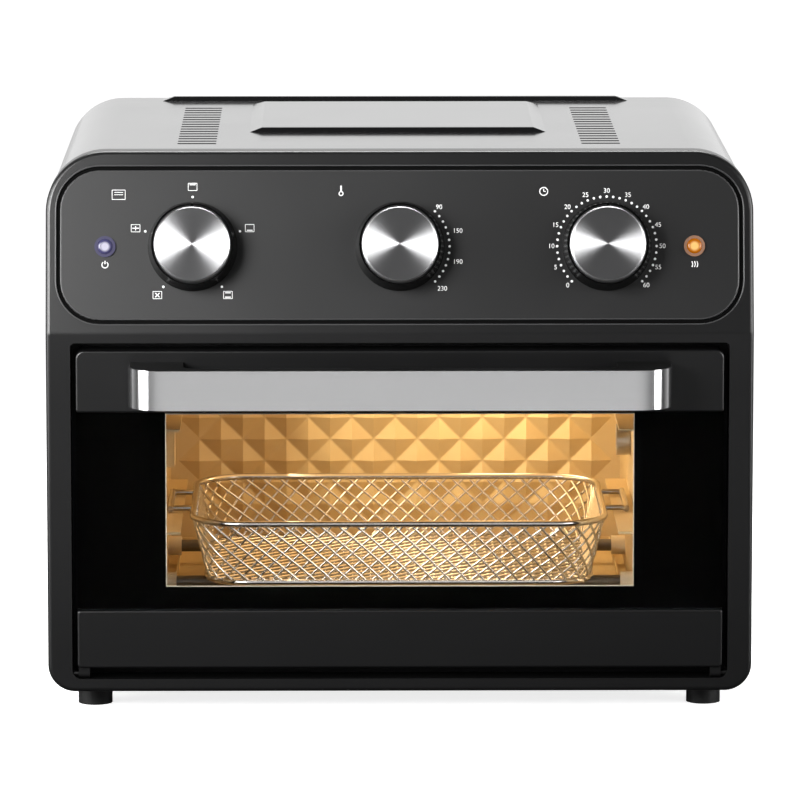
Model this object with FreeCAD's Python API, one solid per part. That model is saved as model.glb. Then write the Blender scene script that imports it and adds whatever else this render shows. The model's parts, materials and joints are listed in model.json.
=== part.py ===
import FreeCAD, Part
import math
import os
from FreeCAD import Vector as V

# Countertop oven-type air fryer. Millimetres; X to the right, Y to the back, Z up from the worktop.
# "d" is the depth behind the front face, and "z" the height above the worktop.

# Driving sizes
WIDTH = 390.0
DEPTH = 320.0
BODY_H = 299.0
LOWER_H = 200.5
FOOT_H = 12.0
TILT = 12.0
HANDLE_REACH = 38.0
GLAND_REACH = 10.0

# Fits
SHEET = 0.8
RUN_FIT = 0.05
CLEAR = 0.3
HOLE_CLEAR = 0.5
DOOR_GAP = 3.0
CASE_INSET = 1.0
OVER = 1.0  # how far a cut runs past the face that it opens

# Levels and depths that follow from the driving sizes
FRONT_Y = HANDLE_REACH - (HANDLE_REACH + DEPTH + GLAND_REACH) / 2
HALF = WIDTH / 2
BODY_TOP = FOOT_H + BODY_H
BEND_Z = FOOT_H + LOWER_H
SLOPE = (BODY_TOP - BEND_Z) / math.cos(math.radians(TILT))
SETBACK = (BODY_TOP - BEND_Z) * math.tan(math.radians(TILT))

# Front frame and its door opening
FRAME_T = 13.0
FRAME_BACK = SETBACK + FRAME_T
FRAME_SIDE = 13.5
FRAME_LIP = 7.3
FRAME_HEAD = 5.3
OPEN_HALF = HALF - FRAME_SIDE
OPEN_LOW = FOOT_H + FRAME_LIP
OPEN_TOP = BEND_Z - FRAME_HEAD
TOP_CORNER = 33.0
LOW_CORNER = 15.0
OPEN_LOW_CORNER = 5.0
OPEN_TOP_CORNER = 2.5
BEND_R = 8.0
RIM_R = 2.5
FACE_D = 19.0

# Control panel, measured up the slope from the bend
PANEL_SIDE = 8.0
PANEL_HALF = HALF - PANEL_SIDE
PANEL_LOW = 7.4
PANEL_HEAD = 10.4
PANEL_HIGH = SLOPE - PANEL_HEAD
PANEL_T = 3.0
PANEL_CORNER = 22.0
PANEL_EDGE = 0.9
GROOVE = 2.1
LEDGE = 9.0
WELL_T = 60.0

# Knobs
KNOB_PITCH = 114.0
KNOB_RISE = 40.6
KNOB_L = PANEL_LOW + KNOB_RISE
SKIRT_R = 24.7
SKIRT_TOP_R = 22.4
SKIRT_LOW = 0.6
SKIRT_H = 16.6
CAP_R = 21.8
CAP_LOW = 14.0
CAP_TOP = 18.0
CAP_BEVEL = 2.2
NOTCH_W = 1.6
NOTCH_T = 2.0
NOTCH_L = CAP_BEVEL + 0.5
SHAFT_R = 3.0
SHAFT_TOP = 11.0
SHAFT_IN = 18.0
SWITCH_HALF = 19.0
FUNCTION_SWITCH_T = 22.0
TEMPERATURE_SWITCH_T = 26.0
TIMER_SWITCH_T = 32.0

# Indicator lenses
LENS_SIDE = 32.8
LENS_X = HALF - LENS_SIDE
LENS_R = 4.2
LENS_TOP = 2.2
LENS_CROWN = 1.6
BEZEL_R = 5.8
BEZEL_H = 1.2
SLEEVE_T = 0.6
SOCKET_H = 12.0
SOCKET_WALL = 2.4

# Case
CASE_HALF = HALF - CASE_INSET
CASE_LOW = FOOT_H + CASE_INSET
CASE_TOP = BODY_TOP - CASE_INSET
FLANGE_W = 39.0
FLANGE_X = CASE_HALF - FLANGE_W
VENT_X0 = 102.0
VENT_X1 = 123.5
VENT_D0 = 66.0
VENT_END = 50.0
VENT_PITCH = 12.7
VENT_W = 5.0
VENTS = int((DEPTH - VENT_END - VENT_D0) / VENT_PITCH)
SIDE_VENTS = 8
SIDE_VENT_LOW = 10.0
SIDE_VENT_H = 35.0
STEP_H = 2.5
STEP_SLOPE = 2.1
STEP_END = 7.0
PLATFORM_HALF = 84.0
PLATFORM_D0 = 128.0
PLATFORM_END = 40.0
RIB_HALF = 138.0
RIB_START = 20.0
RIB_END = 7.0

# Back of the case
BACK_T = 1.2
SCREW_SIDE = 14.0
SCREW_RISE = 40.0
SCREW_HEAD_ROOM = 50.0
SCREW_R = 1.5
SCREW_L = 6.0
SCREW_HEAD_R = 3.6
SCREW_HEAD_H = 2.0
REAR_VENT_COLUMNS = 4
REAR_VENT_ROWS = 6
REAR_VENT_PITCH_X = 50.0
REAR_VENT_PITCH_Z = 12.0
REAR_VENT_L = 38.0
REAR_VENT_RISE = 5.0
GLAND_SIDE = 60.0
GLAND_RISE = 33.0
GLAND_X = HALF - GLAND_SIDE
GLAND_Z = FOOT_H + GLAND_RISE
GLAND_R = 6.0
GLAND_IN = 8.0
GLAND_FLANGE_R = 9.0
GLAND_FLANGE_T = 3.0
GLAND_BORE = 3.5
TERMINAL_HALF = 22.0
TERMINAL_BACK = 25.0
TERMINAL_D = 20.0
TERMINAL_H = 16.0

# Feet
FOOT_R = 9.5
FOOT_SIDE = 25.0
FOOT_FRONT_D = 33.0
FOOT_REAR = 40.0

# Cavity
SIDE_SPACE = 61.0
FLOOR_RISE = 33.0
CEILING_DROP = 9.2
BACK_SPACE = 30.0
CAV = HALF - SIDE_SPACE
CAV_FLOOR = FOOT_H + FLOOR_RISE
CAV_TOP = OPEN_TOP - CEILING_DROP
CAV_FRONT = FACE_D + SHEET
CAV_BACK = DEPTH - BACK_SPACE
DIAMOND = 26.0
DIAMOND_H = 3.0
DIAMOND_GAP = 0.6
DIAMOND_EDGE = 2.0
RUNNER_W = 12.0
RUNNER_T = 1.2
RUNNER_RISE = 52.2
RUNNER_STEP = 57.8
RUNNER_IN = 6.0
RUNNER_END = 80.0
RUNNER_Z = CAV_FLOOR + RUNNER_RISE

# Heaters
TUBE_R = 3.5
LOWER_HEATER_RISE = 12.0
UPPER_HEATER_DROP = 14.0
LOWER_HEATER_Z = CAV_FLOOR + LOWER_HEATER_RISE
UPPER_HEATER_Z = CAV_TOP - UPPER_HEATER_DROP
HEATER_FRONT_D = 95.0
HEATER_REAR = 75.0
HEATER_D = (HEATER_FRONT_D, CAV_BACK - HEATER_REAR)
INSULATOR_L = 8.0
INSULATOR_WALL = 2.0

# Fan, above the cavity
FAN_D = (CAV_FRONT + CAV_BACK) / 2
FAN_R = 52.0
FAN_H = 16.0
FAN_GAP = 8.0
FAN_BLADES = 8
COOL_R = 38.0
COOL_H = 10.0
COOL_GAP = 4.0
COOL_BLADES = 6
HUB_R = 9.0
BLADE_T = 1.2
BLADE_IN = 0.4  # where a blade starts, as a share of the wheel's radius
DISC_T = 1.0
FAN_CAN_R = 66.0
FAN_CAN_H = 34.0
CAN_LAP = 8.0
GUARD_SLOTS = 16
GUARD_SLOT_W = 4.0
GUARD_HUB = 14.0
GUARD_RIM = 12.0
CEILING_TOP = CAV_TOP + SHEET
CAN_TOP = CEILING_TOP + FAN_CAN_H
MOUNT_H = 10.0
MOUNT_R = 28.0
MOUNT_WALL = 4.0
MOTOR_R = 32.0
MOTOR_H = 28.0
MOTOR_LOW = CAN_TOP + MOUNT_H
MOTOR_TOP = MOTOR_LOW + MOTOR_H
FAN_LOW = CEILING_TOP + FAN_GAP
COOL_LOW = MOTOR_TOP + COOL_GAP
SHAFT_PAST = 2.0

# Spit drive and oven lamp
SPIT_RISE = 84.0
SPIT_Z = CAV_FLOOR + SPIT_RISE
SPIT_D = FAN_D
SPIT_R = 9.0
SPIT_OUT = 8.0
SPIT_SQUARE = 8.0
SPIT_FLOOR = 1.5
STUB_R = 4.0
STUB_L = 16.0
SPIT_MOTOR_HALF = 24.0
SPIT_MOTOR_L = 30.0
BRACKET_T = 6.0
BRACKET_HALF = 10.0
BRACKET_UNDER = 14.0
BRACKET_SLOT = 9.0
LAMP_BACK = 50.0
LAMP_DROP = 34.0
LAMP_D = CAV_BACK - LAMP_BACK
LAMP_Z = CAV_TOP - LAMP_DROP
LAMP_HOLE = 13.0
CUP_R = 17.0
CUP_L = 24.0
CUP_WALL = 3.0
CUP_FLOOR = 4.0
BULB_R = 8.0
BULB_L = 16.0
LAMP_COVER_R = 18.0
LAMP_COVER_T = 5.0
LAMP_COVER_EDGE = 3.0

# Door
DOOR_HALF = OPEN_HALF - DOOR_GAP
DOOR_DROP = 3.9
DOOR_TOP = OPEN_TOP - DOOR_DROP
RAIL_FRONT = -2.0
RAIL_BACK = 16.0
RAIL_EDGE = 1.2
TOP_RAIL_H = 34.5
LOW_RAIL_H = 32.4
LOW_RAIL_RISE = 6.5
TOP_RAIL_LOW = DOOR_TOP - TOP_RAIL_H
LOW_RAIL_LOW = OPEN_LOW + LOW_RAIL_RISE
LOW_RAIL_TOP = LOW_RAIL_LOW + LOW_RAIL_H
DOOR_TOP_CORNER = 4.5
DOOR_LOW_CORNER = 2.0
RAIL_CORNER = 1.5
GLASS_D = 1.0
GLASS_T = 4.0
GLASS_BITE = 7.0
MASK_T = 0.3
WINDOW_SIDE = 4.5
WINDOW_RISE = 12.1
WINDOW_DROP = 1.5
WINDOW_HALF = CAV - WINDOW_SIDE
WINDOW_LOW = LOW_RAIL_TOP + WINDOW_RISE
WINDOW_TOP = TOP_RAIL_LOW - WINDOW_DROP
SIDE_W = 28.0
INNER_SIDE = 3.0
INNER_TOP = 2.0
INNER_LIP = 1.0
SEAL_W = 5.0
SEAL_GAP = 1.0
SEAL_TOP_W = 2.5
SEAL_TOP_GAP = 0.5

# Hinge
HINGE_D = 3.0
HINGE_RISE = 2.7
HINGE_Z = OPEN_LOW + HINGE_RISE
PIN_R = 1.5
PIN_IN = 5.6
PIN_BITE = 6.0
BORE_ROOM = 1.0
KNUCKLE_R = 2.4
KNUCKLE_L = 6.0
KNUCKLE_SIDE = 0.6

# Handle
HANDLE_HALF = 149.2
HANDLE_RISE = 6.4
HANDLE_H = 21.8
HANDLE_LOW = TOP_RAIL_LOW + HANDLE_RISE
HANDLE_TOP = HANDLE_LOW + HANDLE_H
HANDLE_BAR = 10.0
HANDLE_LEG = 30.0
HANDLE_CORNER = 20.0
GRIP_CORNER = 8.0
FACING = 1.0
FACING_END = 12.0

# Basket
BASKET_SIDE = 18.0
BASKET_HALF = CAV - BASKET_SIDE
BASKET_D0 = 40.0
BASKET_L = 166.0
BASKET_D1 = BASKET_D0 + BASKET_L
BASKET_H = 34.5
BASKET_TAPER = 8.0
WIRE_R = 1.8
RIM_CORNER = 30.0
LOOP_CORNER = 26.0
RIM_Z = RUNNER_Z + WIRE_R + CLEAR
WING_SIDE = 3.0
WING_HALF = CAV - WING_SIDE
WING_IN = 52.0
WING_TIE = 0.85  # radius of a wing's ties, as a share of its wire's
NET_T = 1.0
NET_CLEAR = 0.1
NET_PITCH = 11.0
FLOOR_PITCH = 17.0
NET_OPEN = 0.42  # half of a gap, as a share of the pitch
NET_EDGE = 0.8
NET_SIDE = 3.0
NET_CORNER = 27.0

# Crumb tray
TRAY_SIDE = 6.0
TRAY_HALF = CAV - TRAY_SIDE
TRAY_D0 = 40.0
TRAY_BACK = 8.0
TRAY_H = 5.0

X_AXIS = V(1, 0, 0)
Y_AXIS = V(0, 1, 0)
Z_AXIS = V(0, 0, 1)
PANEL = FreeCAD.Placement(V(0, FRONT_Y, BEND_Z), FreeCAD.Rotation(X_AXIS, 90.0 - TILT))


def box(x0, x1, d0, d1, z0, z1):
    """A block between two x, two depths and two heights."""
    return Part.makeBox(x1 - x0, d1 - d0, z1 - z0, V(x0, FRONT_Y + d0, z0))


def rod(x, d, z, axis, radius, length):
    """A round bar that starts at a point and runs along an axis."""
    return Part.makeCylinder(radius, length, V(x, FRONT_Y + d, z), axis)


def along(edge, axis):
    """Whether a straight edge runs along an axis."""
    if not isinstance(edge.Curve, (Part.Line, Part.LineSegment)):
        return False
    return abs(abs(edge.tangentAt(edge.FirstParameter).dot(axis)) - 1.0) < 1e-6


def rounded_block(half, d0, d1, z0, z1, r_low, r_top):
    """A block with its four edges along Y rounded."""
    block = box(-half, half, d0, d1, z0, z1)
    for radius, z in ((r_low, z0), (r_top, z1)):
        edges = [e for e in block.Edges if along(e, Y_AXIS) and abs(e.CenterOfMass.z - z) < 0.01]
        block = block.makeFillet(radius, edges)
    return block


def plate(half, l0, l1, n0, n1, radius):
    """A plate with rounded corners in panel axes: x, up the slope, outwards."""
    block = Part.makeBox(2 * half, l1 - l0, n1 - n0, V(-half, l0, n0))
    return block.makeFillet(radius, [e for e in block.Edges if along(e, Z_AXIS)])


def disc(x, l, n0, n1, radius):
    """A round piece in panel axes."""
    return Part.makeCylinder(radius, n1 - n0, V(x, l, n0), Z_AXIS)


def on_panel(shape):
    """Carries a piece from panel axes to the leaning panel."""
    shape.Placement = PANEL.multiply(shape.Placement)
    return shape


def mirrored(shape):
    return shape.mirror(V(0, 0, 0), X_AXIS)


def both_sides(shape):
    return Part.makeCompound([shape, mirrored(shape)])


def write(name, shape):
    shape.exportStep(os.path.join("parts", name + ".step"))


def front_depth(z):
    """Depth of the front surface at a height."""
    return max(0.0, z - BEND_Z) * math.tan(math.radians(TILT))


def front_frame():
    frame = rounded_block(HALF, 0.0, FRAME_BACK, FOOT_H, BODY_TOP, LOW_CORNER, TOP_CORNER)
    frame = frame.cut(on_panel(Part.makeBox(4 * HALF, 2 * SLOPE, SLOPE, V(-2 * HALF, 0, 0))))
    bend = [e for e in frame.Edges
            if along(e, X_AXIS) and abs(e.CenterOfMass.z - BEND_Z) < 0.01]
    frame = frame.makeFillet(BEND_R, bend)
    rim = []
    for edge in frame.Edges:
        mid = edge.CenterOfMass
        if along(edge, X_AXIS) and abs(mid.z - BEND_Z) < BEND_R:
            continue
        if all(abs(p.y - FRONT_Y - front_depth(p.z)) < 0.3 for p in edge.discretize(5)):
            rim.append(edge)
    frame = frame.makeFillet(RIM_R, rim)
    frame = frame.cut(rounded_block(OPEN_HALF, -OVER, FRAME_BACK + OVER, OPEN_LOW, OPEN_TOP,
                                  OPEN_LOW_CORNER, OPEN_TOP_CORNER))
    pocket = plate(PANEL_HALF + GROOVE, PANEL_LOW - GROOVE, PANEL_HIGH + GROOVE, -PANEL_T, OVER,
                   PANEL_CORNER + GROOVE)
    well = plate(PANEL_HALF - LEDGE, PANEL_LOW + LEDGE, PANEL_HIGH - LEDGE, -WELL_T, OVER,
                 PANEL_CORNER - LEDGE)
    frame = frame.cut(on_panel(pocket)).cut(on_panel(well))
    bore = rod(OPEN_HALF - OPEN_LOW_CORNER, HINGE_D, HINGE_Z, X_AXIS, PIN_R + RUN_FIT,
               OPEN_LOW_CORNER + PIN_BITE + BORE_ROOM)
    return frame.cut(bore).cut(mirrored(bore))


def control_panel():
    panel = plate(PANEL_HALF, PANEL_LOW, PANEL_HIGH, -PANEL_T, 0.0, PANEL_CORNER)
    rim = [e for e in panel.Edges if abs(e.BoundBox.ZMin) < 0.01 and abs(e.BoundBox.ZMax) < 0.01]
    panel = panel.makeFillet(PANEL_EDGE, rim)
    for x in (-KNOB_PITCH, 0.0, KNOB_PITCH):
        panel = panel.cut(disc(x, KNOB_L, -PANEL_T - OVER, OVER, SHAFT_R + HOLE_CLEAR))
    for x in (-LENS_X, LENS_X):
        panel = panel.cut(disc(x, KNOB_L, -PANEL_T - OVER, OVER, LENS_R + SLEEVE_T))
    return on_panel(panel)


def bezel(x):
    ring = disc(x, KNOB_L, 0.0, BEZEL_H, BEZEL_R).fuse(disc(x, KNOB_L, -PANEL_T, BEZEL_H, LENS_R + SLEEVE_T))
    return on_panel(ring.cut(disc(x, KNOB_L, -PANEL_T - OVER, BEZEL_H + OVER, LENS_R)).removeSplitter())


def lens(x):
    body = disc(x, KNOB_L, -PANEL_T, LENS_TOP, LENS_R)
    crown = [e for e in body.Edges if e.BoundBox.ZMin > LENS_TOP - 0.1]
    return on_panel(body.makeFillet(LENS_CROWN, crown))


def lamp_socket(x):
    return on_panel(disc(x, KNOB_L, -PANEL_T - SOCKET_H, -PANEL_T, LENS_R + SOCKET_WALL))


def switch_body(x, thick):
    block = Part.makeBox(2 * SWITCH_HALF, 2 * SWITCH_HALF, thick,
                         V(x - SWITCH_HALF, KNOB_L - SWITCH_HALF, -PANEL_T - thick))
    return on_panel(block.cut(disc(x, KNOB_L, -PANEL_T - SHAFT_IN - OVER, 0.0, SHAFT_R + RUN_FIT)))


def knob_shaft(x):
    return on_panel(disc(x, KNOB_L, -PANEL_T - SHAFT_IN, SHAFT_TOP, SHAFT_R))


def knob_skirt(x):
    skirt = Part.makeCone(SKIRT_R, SKIRT_TOP_R, SKIRT_H, V(x, KNOB_L, SKIRT_LOW), Z_AXIS)
    skirt = skirt.cut(disc(x, KNOB_L, CAP_LOW, CAP_TOP + OVER, CAP_R))
    return on_panel(skirt.cut(disc(x, KNOB_L, 0.0, SHAFT_TOP, SHAFT_R)))


def knob_cap(x, pointer):
    """A metal cap with a bevelled rim and a notch that shows the setting."""
    cap = disc(x, KNOB_L, CAP_LOW, CAP_TOP, CAP_R)
    cap = cap.makeChamfer(CAP_BEVEL, [e for e in cap.Edges if e.BoundBox.ZMin > CAP_TOP - 0.1])
    notch = Part.makeBox(NOTCH_W, NOTCH_L + OVER, NOTCH_T + OVER,
                         V(x - NOTCH_W / 2, KNOB_L + CAP_R - NOTCH_L, CAP_TOP - NOTCH_T))
    notch.rotate(V(x, KNOB_L, 0), Z_AXIS, -pointer)
    return on_panel(cap.cut(notch))


def rectangle(half, d0, d1, z):
    """A level rectangle as a wire."""
    corners = [V(-half, FRONT_Y + d0, z), V(half, FRONT_Y + d0, z),
               V(half, FRONT_Y + d1, z), V(-half, FRONT_Y + d1, z)]
    return Part.makePolygon(corners + corners[:1])


def raised_pad(half, d0, d1, z, height):
    """A pressed step: steep at the front, with long slopes at its ends and back."""
    back = min(STEP_END, (d1 - d0) / 2)
    low = rectangle(half, d0, d1, z)
    top = rectangle(half - STEP_END, d0 + STEP_SLOPE, d1 - back, z + height)
    return box(-half, half, d0, d1, z - SHEET / 2, z).fuse(Part.makeLoft([low, top], True, True))


def outer_case():
    case = rounded_block(CASE_HALF, FRAME_BACK, DEPTH, CASE_LOW, CASE_TOP,
                         LOW_CORNER - CASE_INSET, TOP_CORNER - CASE_INSET)
    case = case.cut(case_inside(FRAME_BACK - OVER, DEPTH + OVER))
    case = case.cut(box(-FLANGE_X, FLANGE_X, FRAME_BACK - OVER, DEPTH + OVER,
                        CASE_LOW - OVER, CASE_LOW + SHEET + OVER))
    steps = ((PLATFORM_HALF, PLATFORM_D0, DEPTH - PLATFORM_END),
             (RIB_HALF, DEPTH - RIB_START, DEPTH - RIB_END))
    for half, d0, d1 in steps:
        case = case.fuse(raised_pad(half, d0, d1, CASE_TOP, STEP_H))
        case = case.cut(raised_pad(half - SHEET, d0 + SHEET, d1 - SHEET, CASE_TOP - SHEET, STEP_H))
    slots = []
    for i in range(VENTS):
        d = VENT_D0 + i * VENT_PITCH
        slots.append(box(VENT_X0, VENT_X1, d, d + VENT_W, CASE_TOP - SHEET - OVER, CASE_TOP + OVER))
        slots.append(box(-VENT_X1, -VENT_X0, d, d + VENT_W, CASE_TOP - SHEET - OVER, CASE_TOP + OVER))
    low = BEND_Z + SIDE_VENT_LOW
    for i in range(SIDE_VENTS):
        d = DEPTH / 2 + i * VENT_PITCH
        slots.append(box(-CASE_HALF - OVER, CASE_HALF + OVER, d, d + VENT_W, low, low + SIDE_VENT_H))
    return case.cut(Part.makeCompound(slots)).removeSplitter()


def case_inside(d0, d1):
    """The space inside the case between two depths."""
    return rounded_block(CASE_HALF - SHEET, d0, d1, CASE_LOW + SHEET, CASE_TOP - SHEET,
                         LOW_CORNER - CASE_INSET - SHEET, TOP_CORNER - CASE_INSET - SHEET)


def base_plate():
    half = CASE_HALF - SHEET - LOW_CORNER
    return box(-half, half, FRAME_BACK, DEPTH - BACK_T, CASE_LOW + SHEET, CASE_LOW + 2 * SHEET)


def rear_spots():
    """Where the rear panel's screws stand, as x and z."""
    side = CASE_HALF - SCREW_SIDE
    levels = (CASE_LOW + SCREW_RISE, CASE_TOP - SCREW_HEAD_ROOM)
    return [(s * side, z) for s in (-1, 1) for z in levels]


def rear_panel():
    panel = case_inside(DEPTH - BACK_T, DEPTH)
    d0 = DEPTH - BACK_T - OVER
    through = BACK_T + 2 * OVER
    cuts = [rod(GLAND_X, d0, GLAND_Z, Y_AXIS, GLAND_R, through)]
    cuts += [rod(x, d0, z, Y_AXIS, SCREW_R, through) for x, z in rear_spots()]
    for row in range(REAR_VENT_ROWS):
        z = BEND_Z + REAR_VENT_RISE + row * REAR_VENT_PITCH_Z
        for column in range(REAR_VENT_COLUMNS):
            x = (column - (REAR_VENT_COLUMNS - 1) / 2) * REAR_VENT_PITCH_X
            cuts.append(box(x - REAR_VENT_L / 2, x + REAR_VENT_L / 2, d0, d0 + through, z, z + VENT_W))
    return panel.cut(Part.makeCompound(cuts))


def rear_screws():
    screws = []
    for x, z in rear_spots():
        head = rod(x, DEPTH, z, Y_AXIS, SCREW_HEAD_R, SCREW_HEAD_H)
        shank = rod(x, DEPTH - SCREW_L, z, Y_AXIS, SCREW_R, SCREW_L + SCREW_HEAD_H / 2)
        screws.append(head.fuse(shank).removeSplitter())
    return Part.makeCompound(screws)


def cord_gland():
    start = DEPTH - GLAND_IN
    length = GLAND_IN + GLAND_REACH
    gland = rod(GLAND_X, DEPTH, GLAND_Z, Y_AXIS, GLAND_FLANGE_R, GLAND_FLANGE_T)
    gland = gland.fuse(rod(GLAND_X, start, GLAND_Z, Y_AXIS, GLAND_R, length))
    bore = rod(GLAND_X, start - OVER, GLAND_Z, Y_AXIS, GLAND_BORE, length + 2 * OVER)
    return gland.cut(bore).removeSplitter()


def terminal_block():
    low = CASE_LOW + 2 * SHEET
    d1 = DEPTH - TERMINAL_BACK
    return box(GLAND_X - TERMINAL_HALF, GLAND_X + TERMINAL_HALF, d1 - TERMINAL_D, d1, low, low + TERMINAL_H)


def feet():
    """Two feet under the frame and two under the case."""
    pads = []
    for x in (FOOT_SIDE - HALF, HALF - FOOT_SIDE):
        pads.append(rod(x, FOOT_FRONT_D, 0.0, Z_AXIS, FOOT_R, FOOT_H))
        pads.append(rod(x, DEPTH - FOOT_REAR, 0.0, Z_AXIS, FOOT_R, CASE_LOW))
    return Part.makeCompound(pads)


def face_plate():
    face = rounded_block(OPEN_HALF, FACE_D, CAV_FRONT, OPEN_LOW, OPEN_TOP, OPEN_LOW_CORNER, OPEN_TOP_CORNER)
    return face.cut(box(-CAV, CAV, FACE_D - OVER, CAV_FRONT + OVER, CAV_FLOOR, CAV_TOP))


def right_wall():
    wall = box(CAV, CAV + SHEET, CAV_FRONT, CAV_BACK, CAV_FLOOR, CAV_TOP)
    through = SHEET + 2 * OVER
    wall = wall.cut(rod(CAV - OVER, SPIT_D, SPIT_Z, X_AXIS, STUB_R + HOLE_CLEAR, through))
    return wall.cut(rod(CAV - OVER, LAMP_D, LAMP_Z, X_AXIS, LAMP_HOLE, through))


def left_wall():
    return box(-CAV - SHEET, -CAV, CAV_FRONT, CAV_BACK, CAV_FLOOR, CAV_TOP)


def cavity_floor():
    return box(-CAV - SHEET, CAV + SHEET, CAV_FRONT, CAV_BACK, CAV_FLOOR - SHEET, CAV_FLOOR)


def cavity_ceiling():
    top = box(-CAV - SHEET, CAV + SHEET, CAV_FRONT, CAV_BACK, CAV_TOP, CEILING_TOP)
    return top.cut(rod(0, FAN_D, CAV_TOP - OVER, Z_AXIS, FAN_CAN_R - CAN_LAP, SHEET + 2 * OVER))


def diamond(x, z):
    """A low four-sided point pressed towards the front."""
    r = DIAMOND / 2 - DIAMOND_GAP
    y = FRONT_Y + CAV_BACK
    tip = V(x, y - DIAMOND_H, z)
    ring = [V(x + r, y, z), V(x, y, z + r), V(x - r, y, z), V(x, y, z - r)]
    faces = [Part.Face(Part.makePolygon(ring + [ring[0]]))]
    for a, b in zip(ring, ring[1:] + ring[:1]):
        faces.append(Part.Face(Part.makePolygon([a, b, tip, a])))
    return Part.makeSolid(Part.makeShell(faces))


def cavity_back_wall():
    wall = box(-CAV - SHEET, CAV + SHEET, CAV_BACK, CAV_BACK + SHEET, CAV_FLOOR - SHEET, CEILING_TOP)
    columns = int(2 * (CAV - DIAMOND_EDGE) / DIAMOND)
    rows = int((CAV_TOP - CAV_FLOOR - 2 * DIAMOND_EDGE) / DIAMOND)
    mid_z = (CAV_FLOOR + CAV_TOP) / 2
    points = []
    for count_x, count_z in ((columns, rows), (columns - 1, rows - 1)):
        for i in range(count_x):
            for j in range(count_z):
                x = (i - (count_x - 1) / 2) * DIAMOND
                z = mid_z + (j - (count_z - 1) / 2) * DIAMOND
                points.append(diamond(x, z))
    return wall.multiFuse(points).removeSplitter()


def runner():
    """Ledges on the right wall at two heights."""
    ledges = []
    for z in (RUNNER_Z, RUNNER_Z + RUNNER_STEP):
        ledges.append(box(CAV - RUNNER_W, CAV, CAV_FRONT + RUNNER_IN, CAV_BACK - RUNNER_END, z - RUNNER_T, z))
    return Part.makeCompound(ledges)


def heaters(z):
    span = CAV - INSULATOR_L
    return Part.makeCompound([rod(-span, d, z, X_AXIS, TUBE_R, 2 * span) for d in HEATER_D])


def insulators():
    ends = []
    for z in (LOWER_HEATER_Z, UPPER_HEATER_Z):
        for d in HEATER_D:
            end = rod(CAV - INSULATOR_L, d, z, X_AXIS, TUBE_R + INSULATOR_WALL, INSULATOR_L)
            ends += [end, mirrored(end)]
    return Part.makeCompound(ends)


def fan_guard():
    guard = rod(0, FAN_D, CAV_TOP - SHEET, Z_AXIS, FAN_CAN_R, SHEET)
    half = GUARD_SLOT_W / 2
    for i in range(GUARD_SLOTS):
        slot = box(GUARD_HUB, FAN_CAN_R - GUARD_RIM, FAN_D - half, FAN_D + half,
                   CAV_TOP - SHEET - OVER, CAV_TOP + OVER)
        slot.rotate(V(0, FRONT_Y + FAN_D, 0), Z_AXIS, i * 360.0 / GUARD_SLOTS)
        guard = guard.cut(slot)
    return guard


def fan_cover():
    can = rod(0, FAN_D, CEILING_TOP, Z_AXIS, FAN_CAN_R, FAN_CAN_H)
    can = can.cut(rod(0, FAN_D, CEILING_TOP - OVER, Z_AXIS, FAN_CAN_R - SHEET, FAN_CAN_H - SHEET + OVER))
    mount = rod(0, FAN_D, CAN_TOP, Z_AXIS, MOUNT_R, MOUNT_H)
    can = can.fuse(mount.cut(rod(0, FAN_D, CAN_TOP, Z_AXIS, MOUNT_R - MOUNT_WALL, MOUNT_H)))
    return can.cut(rod(0, FAN_D, CAN_TOP - SHEET - OVER, Z_AXIS, SHAFT_R + 2 * HOLE_CLEAR, SHEET + 2 * OVER))


def fan_motor():
    motor = rod(0, FAN_D, MOTOR_LOW, Z_AXIS, MOTOR_R, MOTOR_H)
    return motor.cut(rod(0, FAN_D, MOTOR_LOW - OVER, Z_AXIS, SHAFT_R + RUN_FIT, MOTOR_H + 2 * OVER))


def fan_shaft():
    length = COOL_LOW + COOL_H - FAN_LOW + 2 * SHAFT_PAST
    return rod(0, FAN_D, FAN_LOW - SHAFT_PAST, Z_AXIS, SHAFT_R, length)


def impeller(low, radius, height, blades):
    """A hub, a back plate and upright blades on the fan shaft."""
    wheel = rod(0, FAN_D, low, Z_AXIS, HUB_R, height)
    wheel = wheel.fuse(rod(0, FAN_D, low + height - DISC_T, Z_AXIS, radius, DISC_T))
    half = BLADE_T / 2
    for i in range(blades):
        blade = box(radius * BLADE_IN, radius - half, FAN_D - half, FAN_D + half,
                    low, low + height - DISC_T / 2)
        blade.rotate(V(0, FRONT_Y + FAN_D, 0), Z_AXIS, i * 360.0 / blades)
        wheel = wheel.fuse(blade)
    return wheel.cut(rod(0, FAN_D, low - OVER, Z_AXIS, SHAFT_R, height + 2 * OVER)).removeSplitter()


def spit_socket():
    head = SPIT_OUT - CLEAR
    socket = rod(CAV - SPIT_OUT, SPIT_D, SPIT_Z, X_AXIS, SPIT_R, head)
    x0 = CAV - SPIT_OUT + head / 2
    socket = socket.fuse(rod(x0, SPIT_D, SPIT_Z, X_AXIS, STUB_R, CAV + STUB_L - x0))
    h = SPIT_SQUARE / 2
    square = box(CAV - SPIT_OUT - OVER, CAV - SPIT_FLOOR, SPIT_D - h, SPIT_D + h, SPIT_Z - h, SPIT_Z + h)
    return socket.cut(square).removeSplitter()


def spit_motor():
    x0 = CAV + SHEET
    h = SPIT_MOTOR_HALF
    motor = box(x0, x0 + SPIT_MOTOR_L, SPIT_D - h, SPIT_D + h, SPIT_Z - h, SPIT_Z + h)
    return motor.cut(rod(CAV, SPIT_D, SPIT_Z, X_AXIS, STUB_R + RUN_FIT, STUB_L + OVER))


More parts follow.
